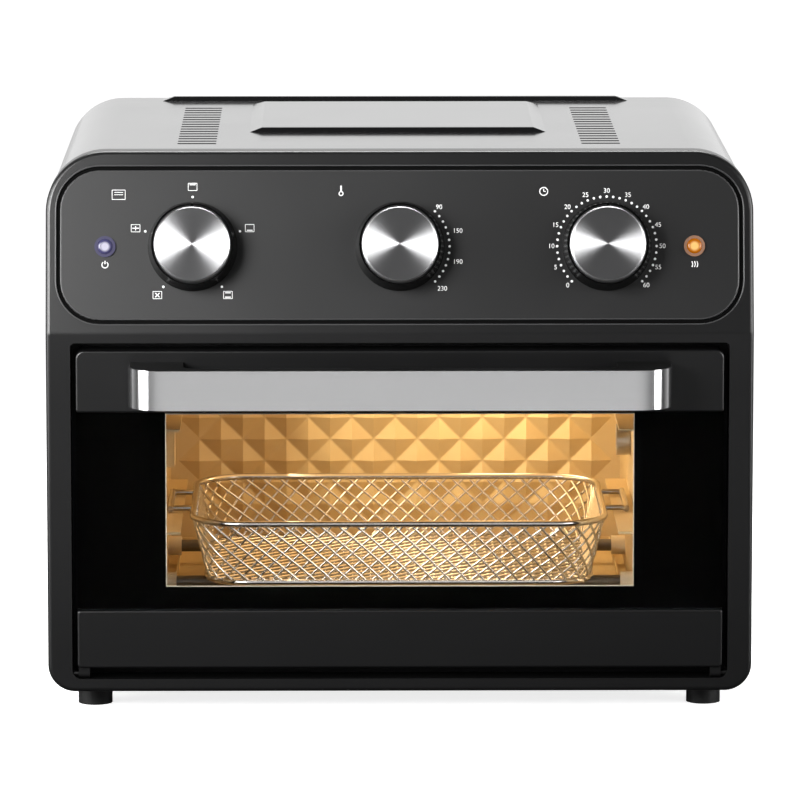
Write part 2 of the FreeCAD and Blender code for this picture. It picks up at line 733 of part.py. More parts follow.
def spit_bracket():
    top = SPIT_Z + BRACKET_HALF
    hook = box(-CAV, -CAV + BRACKET_T, SPIT_D - BRACKET_HALF, SPIT_D + BRACKET_HALF,
               SPIT_Z - BRACKET_UNDER, top)
    h = BRACKET_SLOT / 2
    return hook.cut(box(-CAV - OVER, -CAV + BRACKET_T + OVER, SPIT_D - h, SPIT_D + h, SPIT_Z - h, top + OVER))


def lamp_holder():
    x0 = CAV + SHEET
    cup = rod(x0, LAMP_D, LAMP_Z, X_AXIS, CUP_R, CUP_L)
    return cup.cut(rod(x0 - OVER, LAMP_D, LAMP_Z, X_AXIS, CUP_R - CUP_WALL, CUP_L - CUP_FLOOR + OVER))


def lamp_bulb():
    return rod(CAV + SHEET + CUP_L - CUP_FLOOR - BULB_L, LAMP_D, LAMP_Z, X_AXIS, BULB_R, BULB_L)


def lamp_cover():
    x0 = CAV - LAMP_COVER_T
    cover = rod(x0, LAMP_D, LAMP_Z, X_AXIS, LAMP_COVER_R, LAMP_COVER_T)
    return cover.makeFillet(LAMP_COVER_EDGE, [e for e in cover.Edges if e.BoundBox.XMax < x0 + 0.1])


def door_rail(z0, z1, r_low, r_top, slot_low, slot_high):
    rail = rounded_block(DOOR_HALF, RAIL_FRONT, RAIL_BACK, z0, z1, r_low, r_top)
    front = [e for e in rail.Edges if e.BoundBox.YMax < FRONT_Y + RAIL_FRONT + 0.01]
    rail = rail.makeFillet(RAIL_EDGE, front)
    return rail.cut(box(-HALF, HALF, GLASS_D, GLASS_D + GLASS_T, slot_low, slot_high))


def top_rail():
    return door_rail(TOP_RAIL_LOW, DOOR_TOP, RAIL_CORNER, DOOR_TOP_CORNER,
                     TOP_RAIL_LOW - OVER, TOP_RAIL_LOW + GLASS_BITE)


def bottom_rail():
    rail = door_rail(LOW_RAIL_LOW, LOW_RAIL_TOP, DOOR_LOW_CORNER, RAIL_CORNER,
                     LOW_RAIL_TOP - GLASS_BITE, LOW_RAIL_TOP + OVER)
    x1 = DOOR_HALF - KNUCKLE_SIDE
    x0 = x1 - KNUCKLE_L
    lug = rod(x0, HINGE_D, HINGE_Z, X_AXIS, KNUCKLE_R, KNUCKLE_L)
    lug = lug.fuse(box(x0, x1, HINGE_D - KNUCKLE_R, HINGE_D + KNUCKLE_R, HINGE_Z, LOW_RAIL_LOW + OVER))
    rail = rail.fuse(lug).fuse(mirrored(lug))
    return rail.cut(hinge_pins()).removeSplitter()


def hinge_pins():
    x0 = DOOR_HALF - PIN_IN
    return both_sides(rod(x0, HINGE_D, HINGE_Z, X_AXIS, PIN_R, OPEN_HALF + PIN_BITE - x0))


def door_glass():
    return box(-DOOR_HALF, DOOR_HALF, GLASS_D, GLASS_D + GLASS_T,
               LOW_RAIL_TOP - GLASS_BITE, TOP_RAIL_LOW + GLASS_BITE)


def glass_mask():
    d0 = GLASS_D + GLASS_T
    mask = box(-DOOR_HALF, DOOR_HALF, d0, d0 + MASK_T, LOW_RAIL_TOP, TOP_RAIL_LOW)
    return mask.cut(box(-WINDOW_HALF, WINDOW_HALF, d0 - OVER, d0 + MASK_T + OVER, WINDOW_LOW, WINDOW_TOP))


def door_side():
    d0 = GLASS_D + GLASS_T + MASK_T
    return box(DOOR_HALF - SIDE_W, DOOR_HALF, d0, RAIL_BACK, LOW_RAIL_TOP, TOP_RAIL_LOW)


def inner_panel():
    half = DOOR_HALF - INNER_SIDE
    panel = box(-half, half, RAIL_BACK, RAIL_BACK + SHEET, LOW_RAIL_LOW + INNER_SIDE, DOOR_TOP - INNER_TOP)
    open_half = WINDOW_HALF + INNER_LIP
    return panel.cut(box(-open_half, open_half, RAIL_BACK - OVER, RAIL_BACK + SHEET + OVER,
                         LOW_RAIL_TOP + INNER_TOP, TOP_RAIL_LOW - INNER_LIP))


def door_seal():
    d0 = RAIL_BACK + SHEET
    d1 = FACE_D - CLEAR
    inner = CAV + SEAL_GAP
    outer = inner + SEAL_W
    low = CAV_FLOOR - SEAL_GAP
    top = CAV_TOP + SEAL_TOP_GAP
    seal = box(-outer, outer, d0, d1, low - SEAL_W, top + SEAL_TOP_W)
    return seal.cut(box(-inner, inner, d0 - OVER, d1 + OVER, low, top))


def handle_block(half, d_front, d_back, corner):
    """A block with its two front upright edges rounded."""
    block = box(-half, half, d_front, d_back, HANDLE_LOW, HANDLE_TOP)
    edges = [e for e in block.Edges
             if along(e, Z_AXIS) and e.CenterOfMass.y < FRONT_Y + d_front + 0.01]
    return block.makeFillet(corner, edges)


def handle_core():
    core = handle_block(HANDLE_HALF - FACING, FACING - HANDLE_REACH, RAIL_FRONT, HANDLE_CORNER - FACING)
    gap = handle_block(HANDLE_HALF - HANDLE_LEG, HANDLE_BAR + FACING - HANDLE_REACH, RAIL_FRONT + OVER,
                       GRIP_CORNER)
    return core.cut(gap)


def handle_facing():
    skin = handle_block(HANDLE_HALF, -HANDLE_REACH, -FACING_END, HANDLE_CORNER)
    return skin.cut(handle_block(HANDLE_HALF - FACING, FACING - HANDLE_REACH, 0.0, HANDLE_CORNER - FACING))


def wire_loop(half, d0, d1, z, radius, corner):
    """A closed round wire that follows a rounded rectangle."""
    deep = d1 - d0 - 2 * corner
    wide = 2 * (half - corner)
    pieces = []
    for x in (-half, half):
        pieces.append(rod(x, d0 + corner, z, Y_AXIS, radius, deep))
    for d in (d0, d1):
        pieces.append(rod(corner - half, d, z, X_AXIS, radius, wide))
    turns = ((1, 1, 0.0), (-1, 1, 90.0), (-1, -1, 180.0), (1, -1, 270.0))
    for side, rear, angle in turns:
        d = d1 - corner if rear > 0 else d0 + corner
        bend = Part.makeTorus(corner, radius, V(0, 0, 0), Z_AXIS, 0, 360, 90)
        bend.rotate(V(0, 0, 0), Z_AXIS, angle)
        bend.translate(V(side * (half - corner), FRONT_Y + d, z))
        pieces.append(bend)
    return pieces[0].multiFuse(pieces[1:]).removeSplitter()


def basket_rim():
    rim = wire_loop(BASKET_HALF, BASKET_D0, BASKET_D1, RIM_Z, WIRE_R, RIM_CORNER)
    lower = wire_loop(BASKET_HALF - BASKET_TAPER, BASKET_D0 + BASKET_TAPER, BASKET_D1 - BASKET_TAPER,
                      RIM_Z - BASKET_H, WIRE_R, LOOP_CORNER)
    return Part.makeCompound([rim, lower, basket_wing(), mirrored(basket_wing())])


def basket_wing():
    """A wire that runs along the runner and returns to the rim."""
    d0 = BASKET_D0 + WING_IN
    d1 = BASKET_D1 - WING_IN
    x0 = BASKET_HALF + WIRE_R
    wing = rod(WING_HALF - WIRE_R, d0, RIM_Z, Y_AXIS, WIRE_R, d1 - d0)
    for d in (d0 + 2 * WIRE_R, d1 - 2 * WIRE_R):
        wing = wing.fuse(rod(x0, d, RIM_Z, X_AXIS, WING_TIE * WIRE_R, WING_HALF - WIRE_R - x0))
    return wing.removeSplitter()


def net(origin, across, up, normal, half, height, pitch):
    """A flat net: a plate with staggered diamond gaps, centred on its lower edge."""
    def at(u, v):
        return origin + across * u + up * v
    edge = [at(-half, 0), at(half, 0), at(half, height), at(-half, height)]
    wires = [Part.makePolygon(edge + edge[:1])]
    r = pitch * NET_OPEN
    step = pitch / 2
    for j in range(1, int(height / step)):
        v = j * step
        if v + r > height - NET_EDGE or v - r < NET_EDGE:
            continue
        room = half - NET_SIDE - r
        count = int(2 * room / pitch)
        if j % 2 != count % 2:
            count -= 1
        for i in range(count):
            u = (i - (count - 1) / 2) * pitch
            gap = [at(u + r, v), at(u, v + r), at(u - r, v), at(u, v - r)]
            wires.append(Part.makePolygon(gap + gap[:1]))
    return Part.Face(wires, "Part::FaceMakerBullseye").extrude(normal * NET_T)


def basket_walls():
    """Four leaning nets between the two wire loops."""
    low_z = RIM_Z - BASKET_H
    half = BASKET_HALF - BASKET_TAPER
    d0 = BASKET_D0 + BASKET_TAPER
    d1 = BASKET_D1 - BASKET_TAPER
    run = math.hypot(BASKET_H, BASKET_TAPER)
    rise = BASKET_H / run
    lean = BASKET_TAPER / run
    foot = WIRE_R + NET_CLEAR
    tall = run - 2 * foot
    wide = half - NET_CORNER
    deep = (d1 - d0) / 2 - NET_CORNER
    walls = []
    for s, d in ((-1, d0), (1, d1)):
        up = V(0, s * lean, rise)
        origin = V(0, FRONT_Y + d, low_z) + up * foot
        walls.append(net(origin, X_AXIS, up, V(0, -s * rise, lean), wide, tall, NET_PITCH))
        up = V(s * lean, 0, rise)
        origin = V(s * half, FRONT_Y + (d0 + d1) / 2, low_z) + up * foot
        walls.append(net(origin, Y_AXIS, up, V(-s * rise, 0, lean), deep, tall, NET_PITCH))
    return walls


def basket_floor():
    """A flat net inside the lower wire loop."""
    inset = WIRE_R + CLEAR
    half = BASKET_HALF - BASKET_TAPER - inset
    d0 = BASKET_D0 + BASKET_TAPER + inset
    d1 = BASKET_D1 - BASKET_TAPER - inset
    origin = V(0, FRONT_Y + d0, RIM_Z - BASKET_H - NET_T / 2)
    floor = net(origin, X_AXIS, Y_AXIS, Z_AXIS, half, d1 - d0, FLOOR_PITCH)
    corners = [e for e in floor.Edges
               if along(e, Z_AXIS) and abs(abs(e.CenterOfMass.x) - half) < 0.01]
    return floor.makeFillet(LOOP_CORNER - inset, corners)


def basket_net():
    return Part.makeCompound(basket_walls() + [basket_floor()])


def crumb_tray():
    z0 = CAV_FLOOR + CLEAR
    d1 = CAV_BACK - TRAY_BACK
    tray = box(-TRAY_HALF, TRAY_HALF, TRAY_D0, d1, z0, z0 + TRAY_H)
    return tray.cut(box(-TRAY_HALF + SHEET, TRAY_HALF - SHEET, TRAY_D0 + SHEET, d1 - SHEET,
                        z0 + SHEET, z0 + TRAY_H + OVER))


def write_shell():
    write("front_frame", front_frame())
    write("outer_case", outer_case())
    write("base_plate", base_plate())
    write("rear_panel", rear_panel())
    write("rear_screws", rear_screws())
    write("cord_gland", cord_gland())
    write("terminal_block", terminal_block())
    write("feet", feet())


def write_controls():
    write("control_panel", control_panel())
    write("lens_bezels", Part.makeCompound([bezel(-LENS_X), bezel(LENS_X)]))
    write("power_lens", lens(-LENS_X))
    write("heating_lens", lens(LENS_X))
    write("lamp_sockets", Part.makeCompound([lamp_socket(-LENS_X), lamp_socket(LENS_X)]))
    knobs = (("function", -KNOB_PITCH, 0.0, FUNCTION_SWITCH_T),
             ("temperature", 0.0, 105.0, TEMPERATURE_SWITCH_T),
             ("timer", KNOB_PITCH, 0.0, TIMER_SWITCH_T))
    for name, x, pointer, thick in knobs:
        write(name + "_switch", switch_body(x, thick))
        write(name + "_shaft", knob_shaft(x))
        write(name + "_skirt", knob_skirt(x))
        write(name + "_cap", knob_cap(x, pointer))


def write_cavity():
    write("face_plate", face_plate())
    write("cavity_left_wall", left_wall())
    write("cavity_right_wall", right_wall())
    write("cavity_floor", cavity_floor())
    write("cavity_ceiling", cavity_ceiling())
    write("cavity_back_wall", cavity_back_wall())
    write("runners", both_sides(runner()))
    write("lower_heaters", heaters(LOWER_HEATER_Z))
    write("upper_heaters", heaters(UPPER_HEATER_Z))
    write("heater_insulators", insulators())
    write("lamp_holder", lamp_holder())
    write("lamp_bulb", lamp_bulb())
    write("lamp_cover", lamp_cover())
    write("spit_motor", spit_motor())
    write("spit_socket", spit_socket())
    write("spit_bracket", spit_bracket())


def write_fan():
    write("fan_guard", fan_guard())
    write("fan_cover", fan_cover())
    write("fan_motor", fan_motor())
    write("fan_shaft", fan_shaft())
    write("convection_fan", impeller(FAN_LOW, FAN_R, FAN_H, FAN_BLADES))
    write("cooling_fan", impeller(COOL_LOW, COOL_R, COOL_H, COOL_BLADES))


def write_door():
    write("door_top_rail", top_rail())
    write("door_bottom_rail", bottom_rail())
    write("hinge_pins", hinge_pins())
    write("door_glass", door_glass())
    write("glass_mask", glass_mask())
    write("door_sides", both_sides(door_side()))
    write("door_inner_panel", inner_panel())
    write("door_seal", door_seal())
    write("handle_core", handle_core())
    write("handle_facing", handle_facing())


def write_basket():
    write("basket_rim", basket_rim())
    write("basket_net", basket_net())
    write("crumb_tray", crumb_tray())


os.makedirs("parts", exist_ok=True)
write_shell()
write_controls()
write_cavity()
write_fan()
write_door()
write_basket()
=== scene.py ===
import json
import math

import bmesh
import bpy
from bpy.props import FloatProperty, FloatVectorProperty, PointerProperty
from mathutils import Matrix, Vector


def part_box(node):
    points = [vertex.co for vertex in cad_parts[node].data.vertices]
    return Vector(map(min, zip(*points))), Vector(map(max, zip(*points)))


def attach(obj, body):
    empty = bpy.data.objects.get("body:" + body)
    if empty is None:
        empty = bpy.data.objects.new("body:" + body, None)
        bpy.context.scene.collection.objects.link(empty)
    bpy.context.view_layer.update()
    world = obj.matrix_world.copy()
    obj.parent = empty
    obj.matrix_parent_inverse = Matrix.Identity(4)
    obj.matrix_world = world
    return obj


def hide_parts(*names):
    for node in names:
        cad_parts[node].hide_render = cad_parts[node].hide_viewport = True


bl_info = {
    "name": "Countertop air fryer",
    "version": (1, 0, 0),
    "blender": (4, 5, 0),
    "location": "View3D > Sidebar > Air fryer",
    "description": "Finishes, dial print, knob caps and basket wires of an oven-type air fryer",
    "category": "Object",
}

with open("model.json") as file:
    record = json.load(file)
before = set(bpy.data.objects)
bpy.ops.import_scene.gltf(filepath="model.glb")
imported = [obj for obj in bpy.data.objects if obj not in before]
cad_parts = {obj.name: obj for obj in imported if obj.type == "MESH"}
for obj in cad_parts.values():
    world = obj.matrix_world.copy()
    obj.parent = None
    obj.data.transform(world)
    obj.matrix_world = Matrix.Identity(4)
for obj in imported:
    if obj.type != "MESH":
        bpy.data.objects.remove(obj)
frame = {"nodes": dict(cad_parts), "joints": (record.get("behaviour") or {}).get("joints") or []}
NODES = frame["nodes"]
JOINTS = {joint["name"]: joint for joint in frame["joints"]}
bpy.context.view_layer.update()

MM = 0.001
X_AXIS = Vector((1, 0, 0))
PANEL_OUT = -Vector(JOINTS["knob_function_turn"]["axis"]).normalized()
PANEL_UP = PANEL_OUT.cross(X_AXIS)
FRONT_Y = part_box("front_frame")[0].y

KNOBS = ("function", "temperature", "timer")
POINTER_DEG = {"function": 0.0, "temperature": 105.0, "timer": 0.0}


class FryerSizes(bpy.types.PropertyGroup):
    dot_radius: FloatProperty(name="Dot radius", description="Radius of a printed dot on a dial",
                              default=0.68 * MM, unit="LENGTH")
    dot_ring: FloatProperty(name="Dot ring", description="Radius of the ring of dots round a knob",
                            default=27.4 * MM, unit="LENGTH")
    number_ring: FloatProperty(name="Number ring", description="Radius of the ring of dial numbers",
                               default=30.6 * MM, unit="LENGTH")
    digit: FloatProperty(name="Digit height", description="Height of a dial number",
                         default=2.5 * MM, unit="LENGTH")
    print_lift: FloatProperty(name="Print thickness", description="Thickness of the print on the panel",
                              default=0.08 * MM, unit="LENGTH")
    wire: FloatProperty(name="Basket wire", description="Radius of the fine basket wires",
                        default=0.75 * MM, unit="LENGTH")
    wire_pitch: FloatProperty(name="Wire pitch",
                              description="Distance between crossings along the basket wall",
                              default=10.2 * MM, unit="LENGTH")


class FryerColours(bpy.types.PropertyGroup):
    body: FloatVectorProperty(name="Body", description="Black of the case, frame and rails",
                              default=(0.003, 0.003, 0.0032), size=3, subtype="COLOR")
    panel: FloatVectorProperty(name="Panel", description="Black of the control panel",
                               default=(0.004, 0.004, 0.0042), size=3, subtype="COLOR")
    ink: FloatVectorProperty(name="Ink", description="Colour of the dial print",
                             default=(0.75, 0.75, 0.75), size=3, subtype="COLOR")
    handle: FloatVectorProperty(name="Handle", description="Colour of the handle's metal facing",
                                default=(0.86, 0.86, 0.87), size=3, subtype="COLOR")
    cap: FloatVectorProperty(name="Cap", description="Colour of the turned knob caps",
                             default=(0.48, 0.48, 0.49), size=3, subtype="COLOR")
    cavity: FloatVectorProperty(name="Cavity", description="Colour of the cavity's sheet metal",
                                default=(0.6, 0.48, 0.28), size=3, subtype="COLOR")
    lamp: FloatVectorProperty(name="Oven light", description="Colour of the lamp's light in the cavity",
                              default=(1.0, 0.76, 0.44), size=3, subtype="COLOR")
    glow: FloatVectorProperty(name="Element glow",
                              description="Colour of the heating tubes' light in the cavity",
                              default=(1.0, 0.6, 0.26), size=3, subtype="COLOR")


def sizes():
    return bpy.context.scene.fryer_sizes


def colours():
    return bpy.context.scene.fryer_colours


def grey(level):
    return (level, level, level)


def feed(tree, socket, value):
    """Links a socket to another one, or gives it a fixed value."""
    if isinstance(value, bpy.types.NodeSocket):
        tree.links.new(value, socket)
    else:
        socket.default_value = value


def compute(tree, kind, operation, *values):
    """A node that works on sockets or fixed values, taken in order."""
    node = tree.nodes.new(kind)
    node.operation = operation
    for socket, value in zip(node.inputs, values):
        feed(tree, socket, value)
    return node


def map_range(tree, value, start=(0.0, 1.0), end=(0.0, 1.0)):
    """Maps a value from the start span to the end span, whose limits may be sockets."""
    node = tree.nodes.new("ShaderNodeMapRange")
    labels = ("Value", "From Min", "From Max", "To Min", "To Max")
    for label, given in zip(labels, (value, *start, *end)):
        feed(tree, node.inputs[label], given)
    return node.outputs["Result"]


def coordinate(tree, kind, axis):
    """One axis of a texture coordinate."""
    place = tree.nodes.new("ShaderNodeTexCoord")
    split = tree.nodes.new("ShaderNodeSeparateXYZ")
    tree.links.new(place.outputs[kind], split.inputs["Vector"])
    return split.outputs[axis]


def object_place(tree):
    return tree.nodes.new("ShaderNodeTexCoord").outputs["Object"]


def noise(tree, place, scale, detail):
    """Noise over a surface, from 0 to 1."""
    node = tree.nodes.new("ShaderNodeTexNoise")
    feed(tree, node.inputs["Vector"], place)
    feed(tree, node.inputs["Scale"], scale)
    node.inputs["Detail"].default_value = detail
    return node.outputs["Fac"]


GRAIN = "Moulded grain"
LINES = "Brushed lines"
RINGS = "Turned rings"
LENS_EDGE = "Lens edge"
ROUGH_ENDS = ("Rough low", "Rough high")


def new_group(name, inputs, outputs):
    """A shader group with plain value inputs and outputs."""
    group = bpy.data.node_groups.new(name, "ShaderNodeTree")
    for label, default in inputs:
        socket = group.interface.new_socket(label, in_out="INPUT", socket_type="NodeSocketFloat")
        socket.default_value = default
    for label in outputs:
        group.interface.new_socket(label, in_out="OUTPUT", socket_type="NodeSocketFloat")
    return group, group.nodes.new("NodeGroupInput"), group.nodes.new("NodeGroupOutput")


def relief_group(name, rough, **values):
    """A group that puts out a height and a roughness; values are its other inputs."""
    inputs = [(label.capitalize(), default) for label, default in values.items()]
    return new_group(name, (*inputs, *zip(ROUGH_ENDS, rough)), ("Height", "Roughness"))


def put_out(group, given, result, height, uneven):
    """Ends a relief group: its roughness goes from low to high with an uneven value."""
    rough = map_range(group, uneven, end=[given.outputs[label] for label in ROUGH_ENDS])
    group.links.new(height, result.inputs["Height"])
    group.links.new(rough, result.inputs["Roughness"])


def moulded_grain_group():
    """Fine moulded texture, with a roughness that drifts over the surface."""
    group, given, result = relief_group(GRAIN, (0.3, 0.42), scale=900.0)
    place = object_place(group)
    fine = noise(group, place, given.outputs["Scale"], detail=3.0)
    broad = noise(group, place, scale=14.0, detail=5.0)
    put_out(group, given, result, fine, broad)
    return group


def brushed_group():
    """Fine lines along X."""
    group, given, result = relief_group(LINES, (0.2, 0.36))
    stretch = group.nodes.new("ShaderNodeMapping")
    stretch.inputs["Scale"].default_value = (12.0, 2600.0, 2600.0)
    group.links.new(object_place(group), stretch.inputs["Vector"])
    lines = noise(group, stretch.outputs["Vector"], scale=1.0, detail=4.0)
    put_out(group, given, result, lines, lines)
    return group


def turned_group():
    """Concentric tool marks about the local Z axis."""
    group, given, result = relief_group(RINGS, (0.16, 0.3), rings=2200.0)
    in_plane = (1.0, 1.0, 0.0)
    flat = compute(group, "ShaderNodeVectorMath", "MULTIPLY", object_place(group), in_plane)
    radius = compute(group, "ShaderNodeVectorMath", "LENGTH", flat.outputs["Vector"])
    marks = group.nodes.new("ShaderNodeTexNoise")
    marks.noise_dimensions = "1D"
    marks.inputs["Detail"].default_value = 4.0
    group.links.new(radius.outputs["Value"], marks.inputs["W"])
    group.links.new(given.outputs["Rings"], marks.inputs["Scale"])
    put_out(group, given, result, marks.outputs["Fac"], marks.outputs["Fac"])
    return group


def lens_edge_group():
    """Distance from the nearer lens centre, as a share of the ring's radius."""
    group, given, result = new_group(LENS_EDGE, (("Radius", 5.8 * MM),), ("Share",))
    low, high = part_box("heating_lens")
    middle = [abs(c) for c in (low + high) / 2]
    fold = compute(group, "ShaderNodeVectorMath", "ABSOLUTE", object_place(group))
    away = compute(group, "ShaderNodeVectorMath", "DISTANCE", fold.outputs["Vector"], middle)
    share = compute(group, "ShaderNodeMath", "DIVIDE", away.outputs["Value"], given.outputs["Radius"])
    group.links.new(share.outputs["Value"], result.inputs["Share"])
    return group


GROUP_MAKERS = {GRAIN: moulded_grain_group, LINES: brushed_group, RINGS: turned_group,
                LENS_EDGE: lens_edge_group}


def surface(name, colour, metallic=0.0, roughness=0.4):
    """A material with one Principled shader; gives the material, its tree and the shader."""
    material = bpy.data.materials.new(name)
    material.use_nodes = True
    shader = material.node_tree.nodes["Principled BSDF"]
    shader.inputs["Base Color"].default_value = (*colour, 1.0)
    shader.inputs["Metallic"].default_value = metallic
    shader.inputs["Roughness"].default_value = roughness
    return material, material.node_tree, shader


def shared(tree, group_name):
    """A node with a shared group, which is made when it is first used."""
    node = tree.nodes.new("ShaderNodeGroup")
    node.node_tree = bpy.data.node_groups.get(group_name) or GROUP_MAKERS[group_name]()
    return node


def textured(tree, shader, group_name, rough, bump, depth, scale=None):
    """Feeds a shader's roughness and normal from a shared group."""
    node = shared(tree, group_name)
    for label, value in zip(ROUGH_ENDS, rough):
        node.inputs[label].default_value = value
    if scale is not None:
        node.inputs["Scale"].default_value = scale
    relief = tree.nodes.new("ShaderNodeBump")
    relief.inputs["Strength"].default_value = bump
    relief.inputs["Distance"].default_value = depth
    tree.links.new(node.outputs["Height"], relief.inputs["Height"])
    tree.links.new(node.outputs["Roughness"], shader.inputs["Roughness"])
    tree.links.new(relief.outputs["Normal"], shader.inputs["Normal"])


def moulded(name, colour, rough, bump=0.06, scale=900.0, level=0.5):
    """Moulded plastic, rubber or ceramic with a fine grain."""
    material, tree, shader = surface(name, colour)
    shader.inputs["Specular IOR Level"].default_value = level
    textured(tree, shader, GRAIN, rough, bump, depth=0.2 * MM, scale=scale)
    return material


def brushed(name, colour, rough, bump=0.05, metallic=1.0):
    """Sheet metal with fine lines along X; less metallic where it is coated."""
    material, tree, shader = surface(name, colour, metallic)
    textured(tree, shader, LINES, rough, bump, depth=0.1 * MM)
    return material


def turned(name, colour, rough):
    """Turned metal whose highlight fans out from the centre."""
    material, tree, shader = surface(name, colour, metallic=1.0)
    shader.inputs["Anisotropic"].default_value = 0.9
    shader.inputs["Anisotropic Rotation"].default_value = 0.25
    around = tree.nodes.new("ShaderNodeTangent")
    around.direction_type = "RADIAL"
    around.axis = "Z"
    tree.links.new(around.outputs["Tangent"], shader.inputs["Tangent"])
    textured(tree, shader, RINGS, rough, bump=0.02, depth=0.05 * MM)
    return material


def gloss_paint(name, colour, rough):
    """Smooth paint under a thin clear coat."""
    material, tree, shader = surface(name, colour)
    shader.inputs["Coat Weight"].default_value = 0.42
    shader.inputs["Coat Roughness"].default_value = 0.07
    textured(tree, shader, GRAIN, rough, bump=0.01, depth=0.1 * MM, scale=420.0)
    return material


def lamp_grain(tree, shader):
    """The slight unevenness of a lamp's glass or a moulded lens."""
    textured(tree, shader, GRAIN, rough=(0.08, 0.18), bump=0.03, depth=0.1 * MM, scale=500.0)


def lit_glass(name, colour, strength):
    """Glass that glows all over."""
    material, tree, shader = surface(name, colour)
    lamp_grain(tree, shader)
    shader.inputs["Emission Color"].default_value = (*colour, 1.0)
    shader.inputs["Emission Strength"].default_value = strength
    return material


def lit_lens(name, bright, dark, strength):
    """A small dome that glows in the middle and is dark at its edge."""
    material, tree, shader = surface(name, dark)
    lamp_grain(tree, shader)
    edge = shared(tree, LENS_EDGE)
    fall = tree.nodes.new("ShaderNodeValToRGB")
    inner, outer = fall.color_ramp.elements
    inner.position, inner.color = 0.56, (*bright, 1.0)
    outer.position, outer.color = 0.7, (*dark, 1.0)
    tree.links.new(edge.outputs["Share"], fall.inputs["Fac"])
    tree.links.new(fall.outputs["Color"], shader.inputs["Emission Color"])
    shader.inputs["Emission Strength"].default_value = strength
    return material


def coated_glass(name, colour):
    """Clear glass with a coat that takes away most of its gloss."""
    material, tree, shader = surface(name, colour)
    textured(tree, shader, GRAIN, rough=(0.0, 0.03), bump=0.0, depth=0.1 * MM, scale=60.0)
    shader.inputs["Transmission Weight"].default_value = 1.0
    shader.inputs["IOR"].default_value = 1.04
    return material


def lens_ring(name, cool, amber):
    """Clear plastic rings lit by the lamp inside, cool on the left and amber on the right: the lamp's
    colour is painted into their base colour, with a faint painted glow.
    """
    material, tree, shader = surface(name, cool, roughness=0.15)
    side = compute(tree, "ShaderNodeMath", "GREATER_THAN", coordinate(tree, "Object", "X"), 0.0)
    tint = tree.nodes.new("ShaderNodeMix")
    tint.data_type = "RGBA"
    tint.inputs["A"].default_value = (*cool, 1.0)
    tint.inputs["B"].default_value = (*amber, 1.0)
    tree.links.new(side.outputs["Value"], tint.inputs["Factor"])
    tree.links.new(tint.outputs["Result"], shader.inputs["Base Color"])
    tree.links.new(tint.outputs["Result"], shader.inputs["Emission Color"])
    # Painted glow of the lamp's light in the rings.
    shader.inputs["Emission Strength"].default_value = 0.15
    return material


def paint(material, *names):
    """Gives CAD nodes a material."""
    for name in names:
        slots = NODES[name].data.materials
        slots.clear()
        slots.append(material)


def add_mesh(name, build, material):
    """Makes a mesh piece with bmesh."""
    mesh = bpy.data.meshes.new(name)
    work = bmesh.new()
    build(work)
    bmesh.ops.recalc_face_normals(work, faces=work.faces)
    work.to_mesh(mesh)
    work.free()
    piece = bpy.data.objects.new(name, mesh)
    bpy.context.scene.collection.objects.link(piece)
    mesh.materials.append(material)
    return piece


def join_loops(work, first, second):
    """Quads between two closed loops of as many points."""
    for i in range(len(first)):
        j = (i + 1) % len(first)
        work.faces.new((first[i], first[j], second[j], second[i]))


def close_strip(work, loops):
    """Joins each loop to the next, and the last to the first."""
    for first, second in zip(loops, loops[1:] + loops[:1]):
        join_loops(work, first, second)


def node_points(name):
    """A CAD node's points at rest."""
    node = NODES[name]
    return [node.matrix_world @ v.co for v in node.data.vertices]


def dial_centre(name):
    return Vector(JOINTS["knob_" + name + "_turn"]["pos_m"])


def on_panel(centre, across, up, lift=0.0):
    return centre + X_AXIS * across + PANEL_UP * up + PANEL_OUT * lift


def panel_matrix(point):
    """Local X across the panel, Y up it and Z out of it."""
    turn = Matrix((X_AXIS, PANEL_UP, PANEL_OUT)).transposed().to_4x4()
    return Matrix.Translation(point) @ turn


def ring_place(centre, radius, degrees):
    """A point round a dial, clockwise from the top."""
    angle = math.radians(degrees)
    return on_panel(centre, radius * math.sin(angle), radius * math.cos(angle))


def rounded_point(x0, x1, y0, y1, corner, share):
    """A point at a share of the way round a rounded rectangle."""
    wide = x1 - x0 - 2 * corner
    deep = y1 - y0 - 2 * corner
    arc = corner * math.pi / 2
    runs = ((wide, (x0 + corner, y0), (1, 0)), (deep, (x1, y0 + corner), (0, 1)),
            (wide, (x1 - corner, y1), (-1, 0)), (deep, (x0, y1 - corner), (0, -1)))
    hubs = ((x1 - corner, y0 + corner, -90.0), (x1 - corner, y1 - corner, 0.0),
            (x0 + corner, y1 - corner, 90.0), (x0 + corner, y0 + corner, 180.0))
    left = (share % 1.0) * (2 * wide + 2 * deep + 4 * arc)
    for (length, start, way), (cx, cy, begin) in zip(runs, hubs):
        if left <= length:
            return start[0] + way[0] * left, start[1] + way[1] * left
        left -= length
        if left <= arc:
            angle = math.radians(begin) + left / corner
            return cx + corner * math.cos(angle), cy + corner * math.sin(angle)
        left -= arc
    return runs[0][1]


PANEL_CORNER = 22.0 * MM
EDGE_ROUND = 0.9 * MM
EDGE_PROUD = 0.04 * MM
EDGE_SUNK = 0.2 * MM
STRIP_STEPS = 240


def panel_strip(work, profile):
    """A closed strip round the control panel.

    The profile holds steps outwards from the panel's edge and up from its face.
    """
    centre = dial_centre("temperature")
    points = [p - centre for p in node_points("control_panel")]
    half = max(p.x for p in points)
    low = min(p.dot(PANEL_UP) for p in points)
    high = max(p.dot(PANEL_UP) for p in points)
    face = max(p.dot(PANEL_OUT) for p in points)
    loops = []
    for edge, lift in profile:
        box = (-half - edge, half + edge, low - edge, high + edge, PANEL_CORNER + edge)
        loop = []
        for step in range(STRIP_STEPS):
            x, up = rounded_point(*box, step / STRIP_STEPS)
            loop.append(work.verts.new(on_panel(centre, x, up, face + lift)))
        loops.append(loop)
    close_strip(work, loops)


